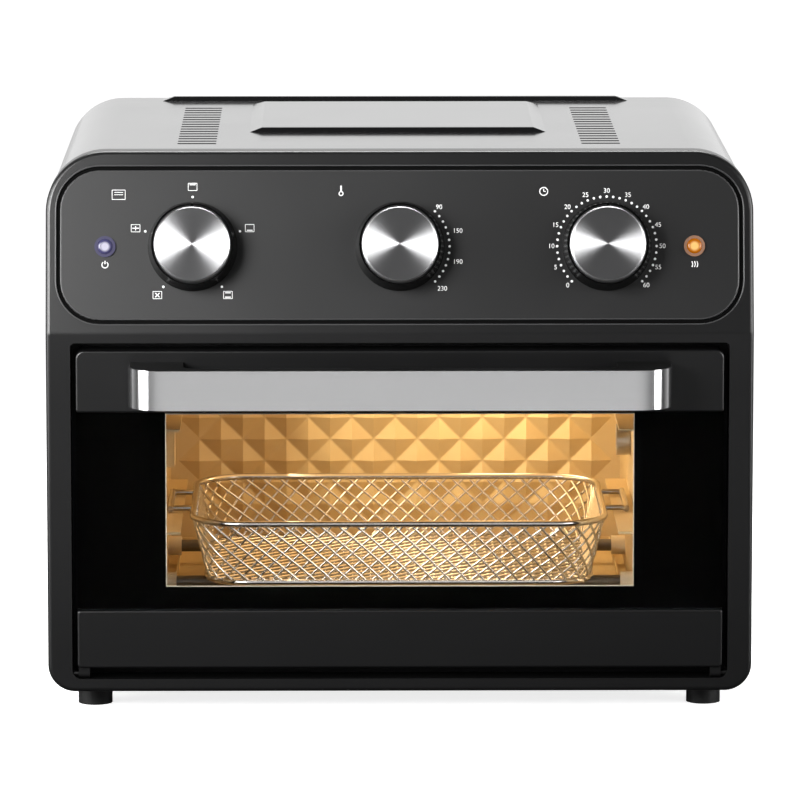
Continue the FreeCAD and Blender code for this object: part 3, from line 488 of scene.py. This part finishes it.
def build_groove_shade(work):
    """A flat near-black strip that lies in the groove round the control panel: painted shade for the
    groove.
    """
    near, far = 0.1 * MM, 2.0 * MM
    low, top = -2.4 * MM, -1.1 * MM
    panel_strip(work, ((near, low), (near, top), (far, top), (far, low)))


def build_panel_edge(work):
    """A lighter strip on the rounding of the control panel's edge: a painted highlight where the rounding
    catches the lamps.
    """
    outside = [(EDGE_ROUND + EDGE_PROUD, degrees) for degrees in (20, 40, 60, 80)]
    inside = [(EDGE_ROUND - EDGE_SUNK, degrees) for degrees in (80, 20)]
    profile = []
    for radius, degrees in outside + inside:
        angle = math.radians(degrees)
        profile.append((radius * math.cos(angle) - EDGE_ROUND, radius * math.sin(angle) - EDGE_ROUND))
    panel_strip(work, profile)


def build_pocket_edge(work):
    """A fine lighter bead along the frame's edge, on the far side of the groove: a painted highlight on
    that edge.
    """
    near, middle, far = 2.1 * MM, 2.4 * MM, 2.8 * MM
    foot, shoulder, crown = -0.4 * MM, -0.05 * MM, 0.12 * MM
    panel_strip(work, ((near, foot), (near, shoulder), (middle, crown), (far, 0.0), (far, foot)))


def trim_panel():
    """Adds a near-black strip in the panel's groove as painted shade, and lighter strips on both sides of
    it as painted highlights on the edges.
    """
    # Near-black and almost without gloss: painted shade in the groove round the panel.
    rubber = moulded("painted groove shade", grey(0.0005), (0.6, 0.7), bump=0.05, level=0.05)
    seal = add_mesh("panel_groove_shade", build_groove_shade, rubber)
    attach(seal, "chassis")
    # Lighter grey than the panel and the frame: painted highlights on their edges.
    edge_highlight = moulded("painted edge highlight", (0.045, 0.045, 0.046), (0.26, 0.36), bump=0.03)
    for name, build in (("panel_edge", build_panel_edge), ("pocket_edge", build_pocket_edge)):
        edge = add_mesh(name, build, edge_highlight)
        edge.data.shade_smooth()
        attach(edge, "chassis")


class FRYER_OT_body(bpy.types.Operator):
    """Finish the case, frame, panel, back, base and feet"""
    bl_idname = "fryer.body"
    bl_label = "Body finishes"

    def execute(self, context):
        black = colours().body
        paint(gloss_paint("case paint", black, (0.12, 0.18)), "outer_case")
        paint(moulded("frame plastic", black, (0.28, 0.34), bump=0.03), "front_frame")
        paint(moulded("panel plastic", colours().panel, (0.36, 0.44), bump=0.03), "control_panel")
        trim_panel()
        paint(moulded("back paint", grey(0.014), (0.45, 0.6), bump=0.1), "rear_panel")
        paint(brushed("zinc sheet", (0.5, 0.51, 0.52), (0.3, 0.5)), "base_plate", "fan_cover")
        paint(moulded("foot rubber", grey(0.006), (0.5, 0.65), bump=0.2, scale=600.0, level=0.3), "feet")
        paint(moulded("gland plastic", grey(0.01), (0.4, 0.5)), "cord_gland")
        paint(brushed("plain steel", (0.45, 0.45, 0.46), (0.25, 0.4)), "rear_screws", "fan_shaft",
              "function_shaft", "temperature_shaft", "timer_shaft")
        # The hinge pins are near-black: painted shade under the door's bottom corners.
        paint(brushed("painted shade steel", grey(0.02), (0.4, 0.5)), "hinge_pins")
        paint(moulded("switch plastic", (0.3, 0.26, 0.2), (0.4, 0.5)), "function_switch",
              "temperature_switch", "timer_switch", "terminal_block", "lamp_sockets")
        return {"FINISHED"}


PANE_GAP = 0.1 * MM
PANE_BEVEL = 0.5 * MM
WINDOW_LINE = 0.5 * MM
SAME_PLACE = 0.1 * MM


def build_pane(work):
    """The door's pane, with ground edges; it stops short of the enamel behind it."""
    low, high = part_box("door_glass")
    middle = (low + high) / 2
    size = high - low
    place = Matrix.Translation(middle - Vector((0, PANE_GAP / 2, 0)))
    grow = Matrix.Diagonal((size.x, size.y - PANE_GAP, size.z, 1.0))
    bmesh.ops.create_cube(work, size=1.0, matrix=place @ grow)
    bmesh.ops.bevel(work, geom=work.edges[:], offset=PANE_BEVEL, segments=2, profile=0.5, affect="EDGES")


def build_window_line(work):
    """A fine pale line round the clear window, on the inner edge of the enamel: a painted highlight for the
    lit edges of the cavity's mouth seen through the glass.
    """
    points = node_points("glass_mask")
    half = min(abs(p.x) for p in points)
    heights = [p.z for p in points if abs(abs(p.x) - half) < SAME_PLACE]
    low, high = min(heights), max(heights)
    front = min(p.y for p in points)
    loops = []
    for inset, depth in ((0.0, 0.0), (WINDOW_LINE, 0.0), (WINDOW_LINE, WINDOW_LINE), (0.0, WINDOW_LINE)):
        side = half - inset
        corners = ((-side, low + inset), (side, low + inset), (side, high - inset), (-side, high - inset))
        loops.append([work.verts.new((x, front + depth, z)) for x, z in corners])
    close_strip(work, loops)


class FRYER_OT_door(bpy.types.Operator):
    """Finish the door, its glass and its handle"""
    bl_idname = "fryer.door"
    bl_label = "Door finishes"

    def execute(self, context):
        paint(moulded("rail plastic", colours().body, (0.28, 0.34), bump=0.03, level=0.45),
              "door_top_rail", "door_bottom_rail", "door_sides")
        paint(moulded("handle plastic", grey(0.004), (0.3, 0.4), level=0.3), "handle_core")
        paint(brushed("handle metal", colours().handle, (0.1, 0.16), bump=0.01), "handle_facing")
        paint(moulded("black enamel", grey(0.0008), (0.4, 0.5), bump=0.02, level=0.0), "glass_mask")
        paint(moulded("seal rubber", grey(0.02), (0.6, 0.7), bump=0.1), "door_seal")
        glass = coated_glass("door glass", grey(0.95))
        pane = add_mesh("door_pane", build_pane, glass)
        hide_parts("door_glass")
        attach(pane, "door")
        # Pale tan line: a painted highlight for the lit edges of the cavity's mouth behind the glass.
        window_highlight = moulded("painted window highlight", (0.42, 0.38, 0.3), (0.4, 0.5), bump=0.02)
        line = add_mesh("window_line", build_window_line, window_highlight)
        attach(line, "door")
        return {"FINISHED"}


class FRYER_OT_inside(bpy.types.Operator):
    """Finish the cavity, heaters, fans and drives"""
    bl_idname = "fryer.inside"
    bl_label = "Inside finishes"

    def execute(self, context):
        # The face plate and the door's inner panel are near-black with little gloss: painted shade for the
        # gap round the door.
        paint(moulded("painted gap shade", grey(0.004), (0.4, 0.5), level=0.2), "face_plate", "door_inner_panel")
        paint(brushed("cavity steel", colours().cavity, (0.5, 0.62), metallic=0.5),
              "cavity_left_wall", "cavity_right_wall", "cavity_floor", "cavity_ceiling",
              "cavity_back_wall", "fan_guard", "runners", "spit_bracket", "crumb_tray")
        paint(brushed("rim wire", (0.5, 0.47, 0.43), (0.14, 0.24)), "basket_rim")
        paint(brushed("heater tube", (0.16, 0.15, 0.14), (0.4, 0.6)), "lower_heaters", "upper_heaters")
        paint(moulded("ceramic", (0.6, 0.53, 0.4), (0.35, 0.5)), "heater_insulators", "lamp_holder")
        paint(brushed("fan metal", (0.55, 0.55, 0.56), (0.3, 0.45)), "convection_fan", "cooling_fan")
        paint(brushed("spit metal", grey(0.5), (0.25, 0.4)), "spit_socket")
        paint(moulded("motor paint", grey(0.12), (0.4, 0.5)), "fan_motor", "spit_motor")
        paint(lit_glass("lamp glass", (1.0, 0.72, 0.4), strength=1.5), "lamp_cover", "lamp_bulb")
        return {"FINISHED"}


class FRYER_OT_lenses(bpy.types.Operator):
    """Light the two indicator lenses"""
    bl_idname = "fryer.lenses"
    bl_label = "Indicator lenses"

    def execute(self, context):
        power = lit_lens("power lens", bright=(0.95, 0.92, 1.0), dark=(0.03, 0.028, 0.07), strength=0.75)
        paint(power, "power_lens")
        heating = lit_lens("heating lens", bright=(1.0, 0.72, 0.28), dark=(0.22, 0.06, 0.0), strength=0.75)
        paint(heating, "heating_lens")
        ring = lens_ring("lens ring", cool=(0.05, 0.047, 0.085), amber=(0.2, 0.11, 0.07))
        paint(ring, "lens_bezels")
        return {"FINISHED"}


# Radius and height in millimetres, from the middle of the cap's top to the middle of its foot.
CAP_PROFILE = ((0.0, 18.0), (19.8, 18.0), (20.1, 17.8), (21.6, 16.2), (21.8, 15.8),
               (21.8, 14.0), (0.0, 14.0))
CAP_STEPS = 96
FLAT_NORMAL = 0.99
SHARP_DEG = 20.0

# The pointer's half width, the radius and height of its two ends, and its depth, in millimetres.
POINTER_HALF = 0.8
POINTER_INNER = (19.6, 18.1)
POINTER_OUTER = (21.78, 16.15)
POINTER_DEPTH = 0.6


def cap_ring(work, radius, height):
    """One ring of the cap, or a single point on its axis."""
    if radius == 0.0:
        return [work.verts.new((0, 0, height * MM))]
    ring = []
    for step in range(CAP_STEPS):
        angle = 2 * math.pi * step / CAP_STEPS
        x = radius * MM * math.cos(angle)
        y = radius * MM * math.sin(angle)
        ring.append(work.verts.new((x, y, height * MM)))
    return ring


def build_cap(work):
    """A turned disc with a bevelled rim, spun about local Z."""
    rings = [cap_ring(work, radius, height) for radius, height in CAP_PROFILE]
    for first, second in zip(rings, rings[1:]):
        for step in range(CAP_STEPS):
            after = (step + 1) % CAP_STEPS
            corners = [first[step % len(first)], second[step % len(second)],
                       second[after % len(second)], first[after % len(first)]]
            work.faces.new(list(dict.fromkeys(corners)))


def build_pointer(work):
    """A short inlay across the cap's bevel, at the top of the dial."""
    points = [Vector((-POINTER_HALF, *POINTER_INNER)), Vector((POINTER_HALF, *POINTER_INNER)),
              Vector((POINTER_HALF, *POINTER_OUTER)), Vector((-POINTER_HALF, *POINTER_OUTER))]
    low = [work.verts.new(p * MM - Vector((0, 0, POINTER_DEPTH * MM))) for p in points]
    top = [work.verts.new(p * MM) for p in points]
    work.faces.new(top)
    work.faces.new(low)
    join_loops(work, low, top)


class FRYER_OT_knobs(bpy.types.Operator):
    """Make the turned metal caps and their pointers"""
    bl_idname = "fryer.knobs"
    bl_label = "Knob caps"

    def execute(self, context):
        paint(moulded("knob plastic", grey(0.001), (0.2, 0.3), bump=0.02, level=0.07),
              "function_skirt", "temperature_skirt", "timer_skirt")
        metal = turned("turned metal", colours().cap, (0.28, 0.38))
        rim = brushed("polished rim", (0.8, 0.8, 0.81), (0.28, 0.36), bump=0.005)
        ink = moulded("pointer ink", grey(0.01), (0.4, 0.5))
        for name in KNOBS:
            place = panel_matrix(dial_centre(name))
            cap = add_mesh(name + "_turned_cap", build_cap, metal)
            cap.data.materials.append(rim)
            cap.data.shade_smooth()
            for face in cap.data.polygons:
                face.material_index = int(abs(face.normal.z) < FLAT_NORMAL)
            cap.data.set_sharp_from_angle(angle=math.radians(SHARP_DEG))
            cap.matrix_world = place
            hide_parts(name + "_cap")
            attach(cap, "knob_" + name)
            mark = add_mesh(name + "_pointer", build_pointer, ink)
            mark.matrix_world = place @ Matrix.Rotation(-math.radians(POINTER_DEG[name]), 4, "Z")
            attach(mark, "knob_" + name)
        return {"FINISHED"}


# Dial angles in degrees, clockwise from the top.
FUNCTION_STEP = 72.0
DOT_STEP = 7.5
HEAT_START = 45.0
HEAT_DOTS = 13
HEAT_NUMBERS = (("90", 45.0), ("150", 75.0), ("190", 105.0), ("230", 135.0))
TIMER_START = -135.0
TIMER_DOTS = 37
TIMER_NUMBERS = 13
TIMER_NUMBER_STEP = 22.5
MINUTES_STEP = 5

# How far the wider marks stand out from the ring of numbers.
WIDE_MARK = 2.4 * MM

# Places of the pictograms, across and up from a dial's centre.
OVEN_PLACE = (-40.7 * MM, 28.7 * MM)
THERMOMETER_PLACE = (-32.3 * MM, 31.0 * MM)
CLOCK_PLACE = (-34.7 * MM, 30.3 * MM)
LENS_MARK_DROP = 10.0 * MM

# In millimetres: widths of the strokes, half sizes of the boxes, and ends of the function dial's strokes.
STROKE = 0.5
FINE_STROKE = 0.3
MARK_BOX = (2.4, 2.0)
OVEN_BOX = (3.6, 2.6)
UPPER_BAR = ((-1.6, 1.2), (1.6, 1.2))
LOWER_BAR = ((-1.6, -1.2), (1.6, -1.2))
CROSS = (((-1.2, -1.2), (1.2, 1.2)), ((-1.2, 1.2), (1.2, -1.2)))
PLUS = (((-1.8, 0.0), (1.8, 0.0)), ((0.0, -1.2), (0.0, 1.2)))
FUNCTION_MARKS = ((UPPER_BAR,), (LOWER_BAR,), (UPPER_BAR, LOWER_BAR), CROSS, PLUS)

DOT_STEPS = 16
CIRCLE_STEPS = 24

# Height of a digit in the built-in font, as a share of its size.
FONT_DIGIT = 0.69


def flat_shape(work, outline):
    """A thin printed shape from an outline of panel points."""
    low = [work.verts.new(p) for p in outline]
    top = [work.verts.new(p + PANEL_OUT * sizes().print_lift) for p in outline]
    work.faces.new(top)
    work.faces.new(low[::-1])
    join_loops(work, low, top)


def dot(work, centre):
    radius = sizes().dot_radius
    outline = []
    for step in range(DOT_STEPS):
        angle = 2 * math.pi * step / DOT_STEPS
        outline.append(on_panel(centre, radius * math.cos(angle), radius * math.sin(angle)))
    flat_shape(work, outline)


def bar(work, centre, start, end, width=STROKE):
    """A straight stroke between two points given in millimetres from a centre."""
    start = Vector(start)
    end = Vector(end)
    side = (end - start).normalized().orthogonal() * width / 2
    corners = (start + side, start - side, end - side, end + side)
    flat_shape(work, [on_panel(centre, c.x * MM, c.y * MM) for c in corners])


def circle_stroke(work, centre, radius, start=0.0, sweep=360.0):
    """A round stroke made of short bars, in millimetres and degrees."""
    ends = []
    for step in range(CIRCLE_STEPS + 1):
        angle = math.radians(start + sweep * step / CIRCLE_STEPS)
        ends.append((radius * math.sin(angle), radius * math.cos(angle)))
    for first, second in zip(ends, ends[1:]):
        bar(work, centre, first, second)


def box_stroke(work, centre, half_x, half_y):
    """The outline of a box in fine strokes, in millimetres."""
    for y in (-half_y, half_y):
        bar(work, centre, (-half_x, y), (half_x, y), FINE_STROKE)
    for x in (-half_x, half_x):
        bar(work, centre, (x, -half_y), (x, half_y), FINE_STROKE)


def dot_arc(work, centre, start, count):
    """Dots round a dial, from a start angle."""
    for step in range(count):
        dot(work, ring_place(centre, sizes().dot_ring, start + DOT_STEP * step))


def function_marks(work, centre):
    """A dot and a small box with a sign for each function."""
    for step, strokes in enumerate(FUNCTION_MARKS):
        dot(work, ring_place(centre, sizes().dot_ring, FUNCTION_STEP * step))
        place = ring_place(centre, sizes().number_ring + WIDE_MARK, FUNCTION_STEP * step)
        for start, end in strokes:
            bar(work, place, start, end)
        box_stroke(work, place, *MARK_BOX)


def oven_mark(work, place):
    """An oven with two shelves."""
    box_stroke(work, place, *OVEN_BOX)
    half = 2.4
    for shelf in (0.0, 1.3):
        bar(work, place, (-half, shelf), (half, shelf), FINE_STROKE)


def thermometer_mark(work, place):
    bulb, stem = 1.1, 0.9
    circle_stroke(work, on_panel(place, 0, -1.8 * MM), bulb)
    bar(work, place, (0, -0.8), (0, 2.6), stem)


def clock_mark(work, place):
    circle_stroke(work, place, 2.2)
    bar(work, place, (0, 0), (0, 1.5))
    bar(work, place, (0, 0), (1.1, 0))


def power_mark(work, place):
    """A ring that is open at the top, with a bar in the gap."""
    circle_stroke(work, place, 1.7, start=35.0, sweep=290.0)
    bar(work, place, (0, 0.4), (0, 2.2))


def warm_mark(work, place):
    """Three bent strokes, like warm air that rises."""
    tall, bend = 1.6, 0.5
    for x in (-1.4, 0.0, 1.4):
        bar(work, place, (x, -tall), (x + bend, 0.0))
        bar(work, place, (x + bend, 0.0), (x, tall))


def print_marks(work):
    """All dots and pictograms on the panel."""
    function, heat, timer = (dial_centre(name) for name in KNOBS)
    function_marks(work, function)
    dot_arc(work, heat, HEAT_START, HEAT_DOTS)
    dot_arc(work, timer, TIMER_START, TIMER_DOTS)
    oven_mark(work, on_panel(function, *OVEN_PLACE))
    thermometer_mark(work, on_panel(heat, *THERMOMETER_PLACE))
    clock_mark(work, on_panel(timer, *CLOCK_PLACE))
    low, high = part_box("heating_lens")
    lens_x = (low.x + high.x) / 2
    power_mark(work, on_panel(heat, -lens_x, -LENS_MARK_DROP))
    warm_mark(work, on_panel(heat, lens_x, -LENS_MARK_DROP))


def number_mesh(text, place):
    """A dial number as a thin mesh on the panel."""
    lift = sizes().print_lift
    curve = bpy.data.curves.new("number", "FONT")
    curve.body = text
    curve.align_x = "CENTER"
    curve.align_y = "CENTER"
    curve.size = sizes().digit / FONT_DIGIT
    curve.extrude = lift / 2
    holder = bpy.data.objects.new("number", curve)
    mesh = bpy.data.meshes.new_from_object(holder)
    mesh.transform(panel_matrix(place + PANEL_OUT * lift / 2))
    bpy.data.objects.remove(holder)
    bpy.data.curves.remove(curve)
    return mesh


def print_numbers(work):
    """The numbers of the temperature and timer dials; those with three digits stand further out."""
    heat = dial_centre("temperature")
    timer = dial_centre("timer")
    ring = sizes().number_ring
    labels = []
    for text, angle in HEAT_NUMBERS:
        radius = ring if len(text) < 3 else ring + WIDE_MARK
        labels.append((text, ring_place(heat, radius, angle)))
    for i in range(TIMER_NUMBERS):
        labels.append((str(MINUTES_STEP * i), ring_place(timer, ring, TIMER_START + TIMER_NUMBER_STEP * i)))
    for text, place in labels:
        mesh = number_mesh(text, place)
        work.from_mesh(mesh)
        bpy.data.meshes.remove(mesh)


class FRYER_OT_print(bpy.types.Operator):
    """Print the dots, numbers and pictograms on the panel"""
    bl_idname = "fryer.print"
    bl_label = "Dial print"

    def execute(self, context):
        ink = moulded("dial ink", colours().ink, (0.45, 0.55), bump=0.05)
        for name, build in (("dial_marks", print_marks), ("dial_numbers", print_numbers)):
            piece = add_mesh(name, build, ink)
            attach(piece, "chassis")
        return {"FINISHED"}


BASKET_TAPER = 8.0 * MM
BASKET_CORNER = 29.0 * MM
WALL_STEPS = 8
WIRE_SLOPE = 1.15
CORNER_CUT = 0.6


def wall_lines():
    """Crossing wires of the basket's leaning walls."""
    low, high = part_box("basket_net")
    wire = sizes().wire
    around = 2 * (high.x - low.x + high.y - low.y) - 8 * BASKET_CORNER + 2 * math.pi * BASKET_CORNER
    count = round(around / sizes().wire_pitch)
    height = high.z - low.z
    reach = WIRE_SLOPE * height / around
    lines = []
    for way in (-1, 1):
        for i in range(count):
            line = []
            for step in range(WALL_STEPS + 1):
                t = step / WALL_STEPS
                inset = BASKET_TAPER * (1 - t) + wire * (1 + way)
                x, y = rounded_point(low.x + inset, high.x - inset, low.y + inset, high.y - inset,
                                     BASKET_CORNER - inset / 2, i / count + way * reach * t)
                line.append(Vector((x, y, low.z + height * t)))
            lines.append(line)
    return lines


def floor_lines():
    """Crossing wires of the basket's floor; none lies outside its rounded corners."""
    low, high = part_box("basket_net")
    wire = sizes().wire
    inset = BASKET_TAPER + 2 * wire
    half_x = high.x - inset
    half_y = (high.y - low.y) / 2 - inset
    middle = (high.y + low.y) / 2
    step = sizes().wire_pitch
    reach = half_x + half_y - CORNER_CUT * BASKET_CORNER
    count = int(reach / step)
    lines = []
    for way in (-1, 1):
        z = low.z + wire * (2 + way)
        for i in range(-count, count + 1):
            first = max(-half_x, i * step - half_y)
            last = min(half_x, i * step + half_y)
            lines.append([Vector((x, middle + way * (x - i * step), z)) for x in (first, last)])
    return lines


class FRYER_OT_basket(bpy.types.Operator):
    """Weave the basket's fine wires"""
    bl_idname = "fryer.basket"
    bl_label = "Basket wires"

    def execute(self, context):
        curve = bpy.data.curves.new("basket_wires", "CURVE")
        curve.dimensions = "3D"
        curve.bevel_depth = sizes().wire
        curve.bevel_resolution = 2
        curve.use_fill_caps = True
        for points in wall_lines() + floor_lines():
            spline = curve.splines.new("POLY")
            spline.points.add(len(points) - 1)
            for point, place in zip(spline.points, points):
                point.co = (*place, 1.0)
        curve.materials.append(brushed("fine wire", (0.7, 0.68, 0.64), (0.16, 0.26)))
        wires = bpy.data.objects.new("basket_wires", curve)
        context.scene.collection.objects.link(wires)
        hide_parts("basket_net")
        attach(wires, "basket")
        return {"FINISHED"}


WHITE = (1.0, 1.0, 1.0)

# Glossy rays see the world fade from the front level to white as they point further back.
WORLD_FADE = (0.15, 0.7)
FRONT_LEVEL = 0.05
MATT_LEVEL = 0.3

FLOOR_HALF = 6.0
FLOOR_TONE = 0.86
FLOOR_GLOW = 0.8
CARD_SPAN = (-1.5, 0.5)
CARD_ENDS = (0.55, 0.7)
CARD_TONE = 0.02
BEHIND_SPAN = (0.3, 1.0)
BEHIND_GLOW = 0.45

CAMERA_BACK = 3.482
CAMERA_HEIGHT = 0.6996
CAMERA_PITCH = 81.44
CAMERA_LENS = 287.7
CAMERA_SENSOR = 36.0
CAMERA_YAW = 0.55

MIDDLE = (0.0, 0.0, 0.16)
ABOVE = (0.0, 0.0, 0.4)
NARROW = 60.0
BROAD = 90.0


def area_light(name, place, aim, size, power, colour=WHITE, spread=180.0):
    """A soft rectangular lamp that faces a point."""
    light = bpy.data.lights.new(name, "AREA")
    light.shape = "RECTANGLE"
    light.size, light.size_y = size
    light.energy = power
    light.color = colour
    light.spread = math.radians(spread)
    lamp = bpy.data.objects.new(name, light)
    lamp.location = place
    lamp.rotation_euler = (Vector(aim) - Vector(place)).to_track_quat("-Z", "Y").to_euler()
    bpy.context.scene.collection.objects.link(lamp)
    return lamp


def world_strength(tree, rays):
    """White for camera and transmission rays; for glossy rays it fades towards the front."""
    strength = map_range(tree, coordinate(tree, "Generated", "Y"), WORLD_FADE, (FRONT_LEVEL, 1.0))
    strength.node.interpolation_type = "SMOOTHSTEP"
    for ray in ("Is Camera Ray", "Is Transmission Ray"):
        strength = compute(tree, "ShaderNodeMath", "MAXIMUM", rays.outputs[ray], strength).outputs[0]
    return strength


def white_world():
    """White behind the object, dark in front of it, and a plain light from all round on matt surfaces."""
    world = bpy.data.worlds.new("studio")
    bpy.context.scene.world = world
    world.use_nodes = True
    tree = world.node_tree
    rays = tree.nodes.new("ShaderNodeLightPath")
    seen = tree.nodes["Background"]
    plain = tree.nodes.new("ShaderNodeBackground")
    for backdrop, strength in ((seen, world_strength(tree, rays)), (plain, MATT_LEVEL)):
        backdrop.inputs["Color"].default_value = (*WHITE, 1.0)
        feed(tree, backdrop.inputs["Strength"], strength)
    mix = tree.nodes.new("ShaderNodeMixShader")
    tree.links.new(rays.outputs["Is Diffuse Ray"], mix.inputs["Fac"])
    tree.links.new(seen.outputs[0], mix.inputs[1])
    tree.links.new(plain.outputs[0], mix.inputs[2])
    tree.links.new(mix.outputs[0], tree.nodes["World Output"].inputs["Surface"])


def card_tone(tree, depth):
    """The floor's tone from front to back, darkest on a card in front of the object."""
    card = tree.nodes.new("ShaderNodeValToRGB")
    ramp = card.color_ramp.elements
    ramp[0].position, ramp[0].color = 0.1, (*grey(0.5), 1.0)
    ramp[1].position, ramp[1].color = 0.95, (*grey(0.7), 1.0)
    for position in CARD_ENDS:
        ramp.new(position).color = (*grey(CARD_TONE), 1.0)
    tree.links.new(map_range(tree, depth, CARD_SPAN), card.inputs["Fac"])
    return card.outputs["Color"]


def floor_paint():
    """White for the camera; for other rays dark in front of the object and aglow behind it."""
    material, tree, shader = surface("floor", grey(FLOOR_TONE), roughness=0.7)
    seen = tree.nodes.new("ShaderNodeLightPath").outputs["Is Camera Ray"]
    depth = coordinate(tree, "Object", "Y")
    tone = map_range(tree, seen, end=(card_tone(tree, depth), FLOOR_TONE))
    behind = map_range(tree, depth, BEHIND_SPAN, (0.0, BEHIND_GLOW))
    shine = map_range(tree, seen, end=(behind, FLOOR_GLOW))
    tree.links.new(tone, shader.inputs["Base Color"])
    tree.links.new(shine, shader.inputs["Emission Strength"])
    shader.inputs["Emission Color"].default_value = (*WHITE, 1.0)
    return material


def white_floor():
    """A wide flat floor under the object."""
    mesh = bpy.data.meshes.new("floor")
    half = FLOOR_HALF
    corners = [(-half, -half, 0), (half, -half, 0), (half, half, 0), (-half, half, 0)]
    mesh.from_pydata(corners, [], [(0, 1, 2, 3)])
    mesh.materials.append(floor_paint())
    floor = bpy.data.objects.new("floor", mesh)
    bpy.context.scene.collection.objects.link(floor)


def photo_camera():
    """A camera at the photo's viewing angle."""
    data = bpy.data.cameras.new("camera")
    data.lens = CAMERA_LENS
    data.sensor_width = CAMERA_SENSOR
    camera = bpy.data.objects.new("camera", data)
    turn = math.radians(CAMERA_YAW)
    camera.location = (-CAMERA_BACK * math.tan(turn), FRONT_Y - CAMERA_BACK, CAMERA_HEIGHT)
    camera.rotation_euler = (math.radians(CAMERA_PITCH), 0.0, -turn)
    bpy.context.scene.collection.objects.link(camera)
    bpy.context.scene.camera = camera


def softboxes():
    """Soft studio lamps in front of the object, at its sides and above it."""
    area_light("front left softbox", place=(-0.6, -0.95, 0.55), aim=MIDDLE, size=(0.5, 0.5),
               power=2.4, spread=NARROW)
    area_light("front right softbox", place=(0.7, -0.95, 0.5), aim=MIDDLE, size=(0.4, 0.5),
               power=0.3, spread=NARROW)
    area_light("left softbox", place=(-1.15, -0.5, 0.6), aim=ABOVE, size=(0.8, 1.3),
               power=4.3, spread=NARROW)
    area_light("right softbox", place=(1.15, -0.5, 0.6), aim=ABOVE, size=(0.5, 1.3),
               power=2.6, spread=NARROW)
    area_light("front softbox", place=(0.0, -1.5, 1.3), aim=(0.0, -1.4, 0.0), size=(1.6, 0.7),
               power=6.0, spread=BROAD)
    area_light("top softbox", place=(0.0, 0.45, 1.5), aim=MIDDLE, size=(1.2, 0.5),
               power=8.0, spread=BROAD)


def oven_light():
    """A small round light in front of the oven lamp's cover."""
    ahead, radius = 70 * MM, 25 * MM
    low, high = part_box("lamp_cover")
    light = bpy.data.lights.new("oven light", "POINT")
    light.energy = 0.24
    light.color = colours().lamp
    light.shadow_soft_size = radius
    lamp = bpy.data.objects.new("oven light", light)
    lamp.location = (low.x - ahead, (low.y + high.y) / 2, (low.z + high.z) / 2)
    lamp.visible_camera = False
    bpy.context.scene.collection.objects.link(lamp)


def cavity_glow():
    """The heating tubes' light from above, and light thrown back onto the right wall."""
    low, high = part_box("cavity_ceiling")
    middle_y = (low.y + high.y) / 2
    down = area_light("element glow", place=(0.0, middle_y, low.z - 20 * MM), aim=(0.0, middle_y, 0.0),
                      size=(0.24, 0.18), power=0.16, colour=colours().glow)
    wall = area_light("wall glow", place=(-60 * MM, middle_y, low.z - 50 * MM),
                      aim=(high.x, middle_y, low.z - 70 * MM),
                      size=(0.2, 0.06), power=0.2, colour=colours().lamp)
    for lamp in (down, wall):
        lamp.visible_camera = False


class FRYER_OT_stage(bpy.types.Operator):
    """Set the floor, lights, world and camera"""
    bl_idname = "fryer.stage"
    bl_label = "Stage"

    def execute(self, context):
        context.scene.view_settings.view_transform = "Standard"
        white_world()
        white_floor()
        photo_camera()
        softboxes()
        oven_light()
        cavity_glow()
        return {"FINISHED"}


class FRYER_PT_panel(bpy.types.Panel):
    bl_idname = "FRYER_PT_panel"
    bl_label = "Air fryer"
    bl_space_type = "VIEW_3D"
    bl_region_type = "UI"
    bl_category = "Air fryer"

    def draw(self, context):
        for group in (context.scene.fryer_sizes, context.scene.fryer_colours):
            for name in group.__annotations__:
                self.layout.prop(group, name)
        for operator in OPERATORS:
            self.layout.operator(operator.bl_idname)


OPERATORS = (FRYER_OT_body, FRYER_OT_door, FRYER_OT_inside, FRYER_OT_lenses, FRYER_OT_knobs,
             FRYER_OT_print, FRYER_OT_basket, FRYER_OT_stage)
CLASSES = (FryerSizes, FryerColours, *OPERATORS, FRYER_PT_panel)


def register():
    for item in CLASSES:
        bpy.utils.register_class(item)
    bpy.types.Scene.fryer_sizes = PointerProperty(type=FryerSizes)
    bpy.types.Scene.fryer_colours = PointerProperty(type=FryerColours)


def unregister():
    del bpy.types.Scene.fryer_colours
    del bpy.types.Scene.fryer_sizes
    for item in reversed(CLASSES):
        bpy.utils.unregister_class(item)


def main():
    register()
    bpy.ops.fryer.body()
    bpy.ops.fryer.door()
    bpy.ops.fryer.inside()
    bpy.ops.fryer.lenses()
    bpy.ops.fryer.knobs()
    bpy.ops.fryer.print()
    bpy.ops.fryer.basket()
    bpy.ops.fryer.stage()
    bpy.context.view_layer.update()


if __name__ == "__main__":
    main()
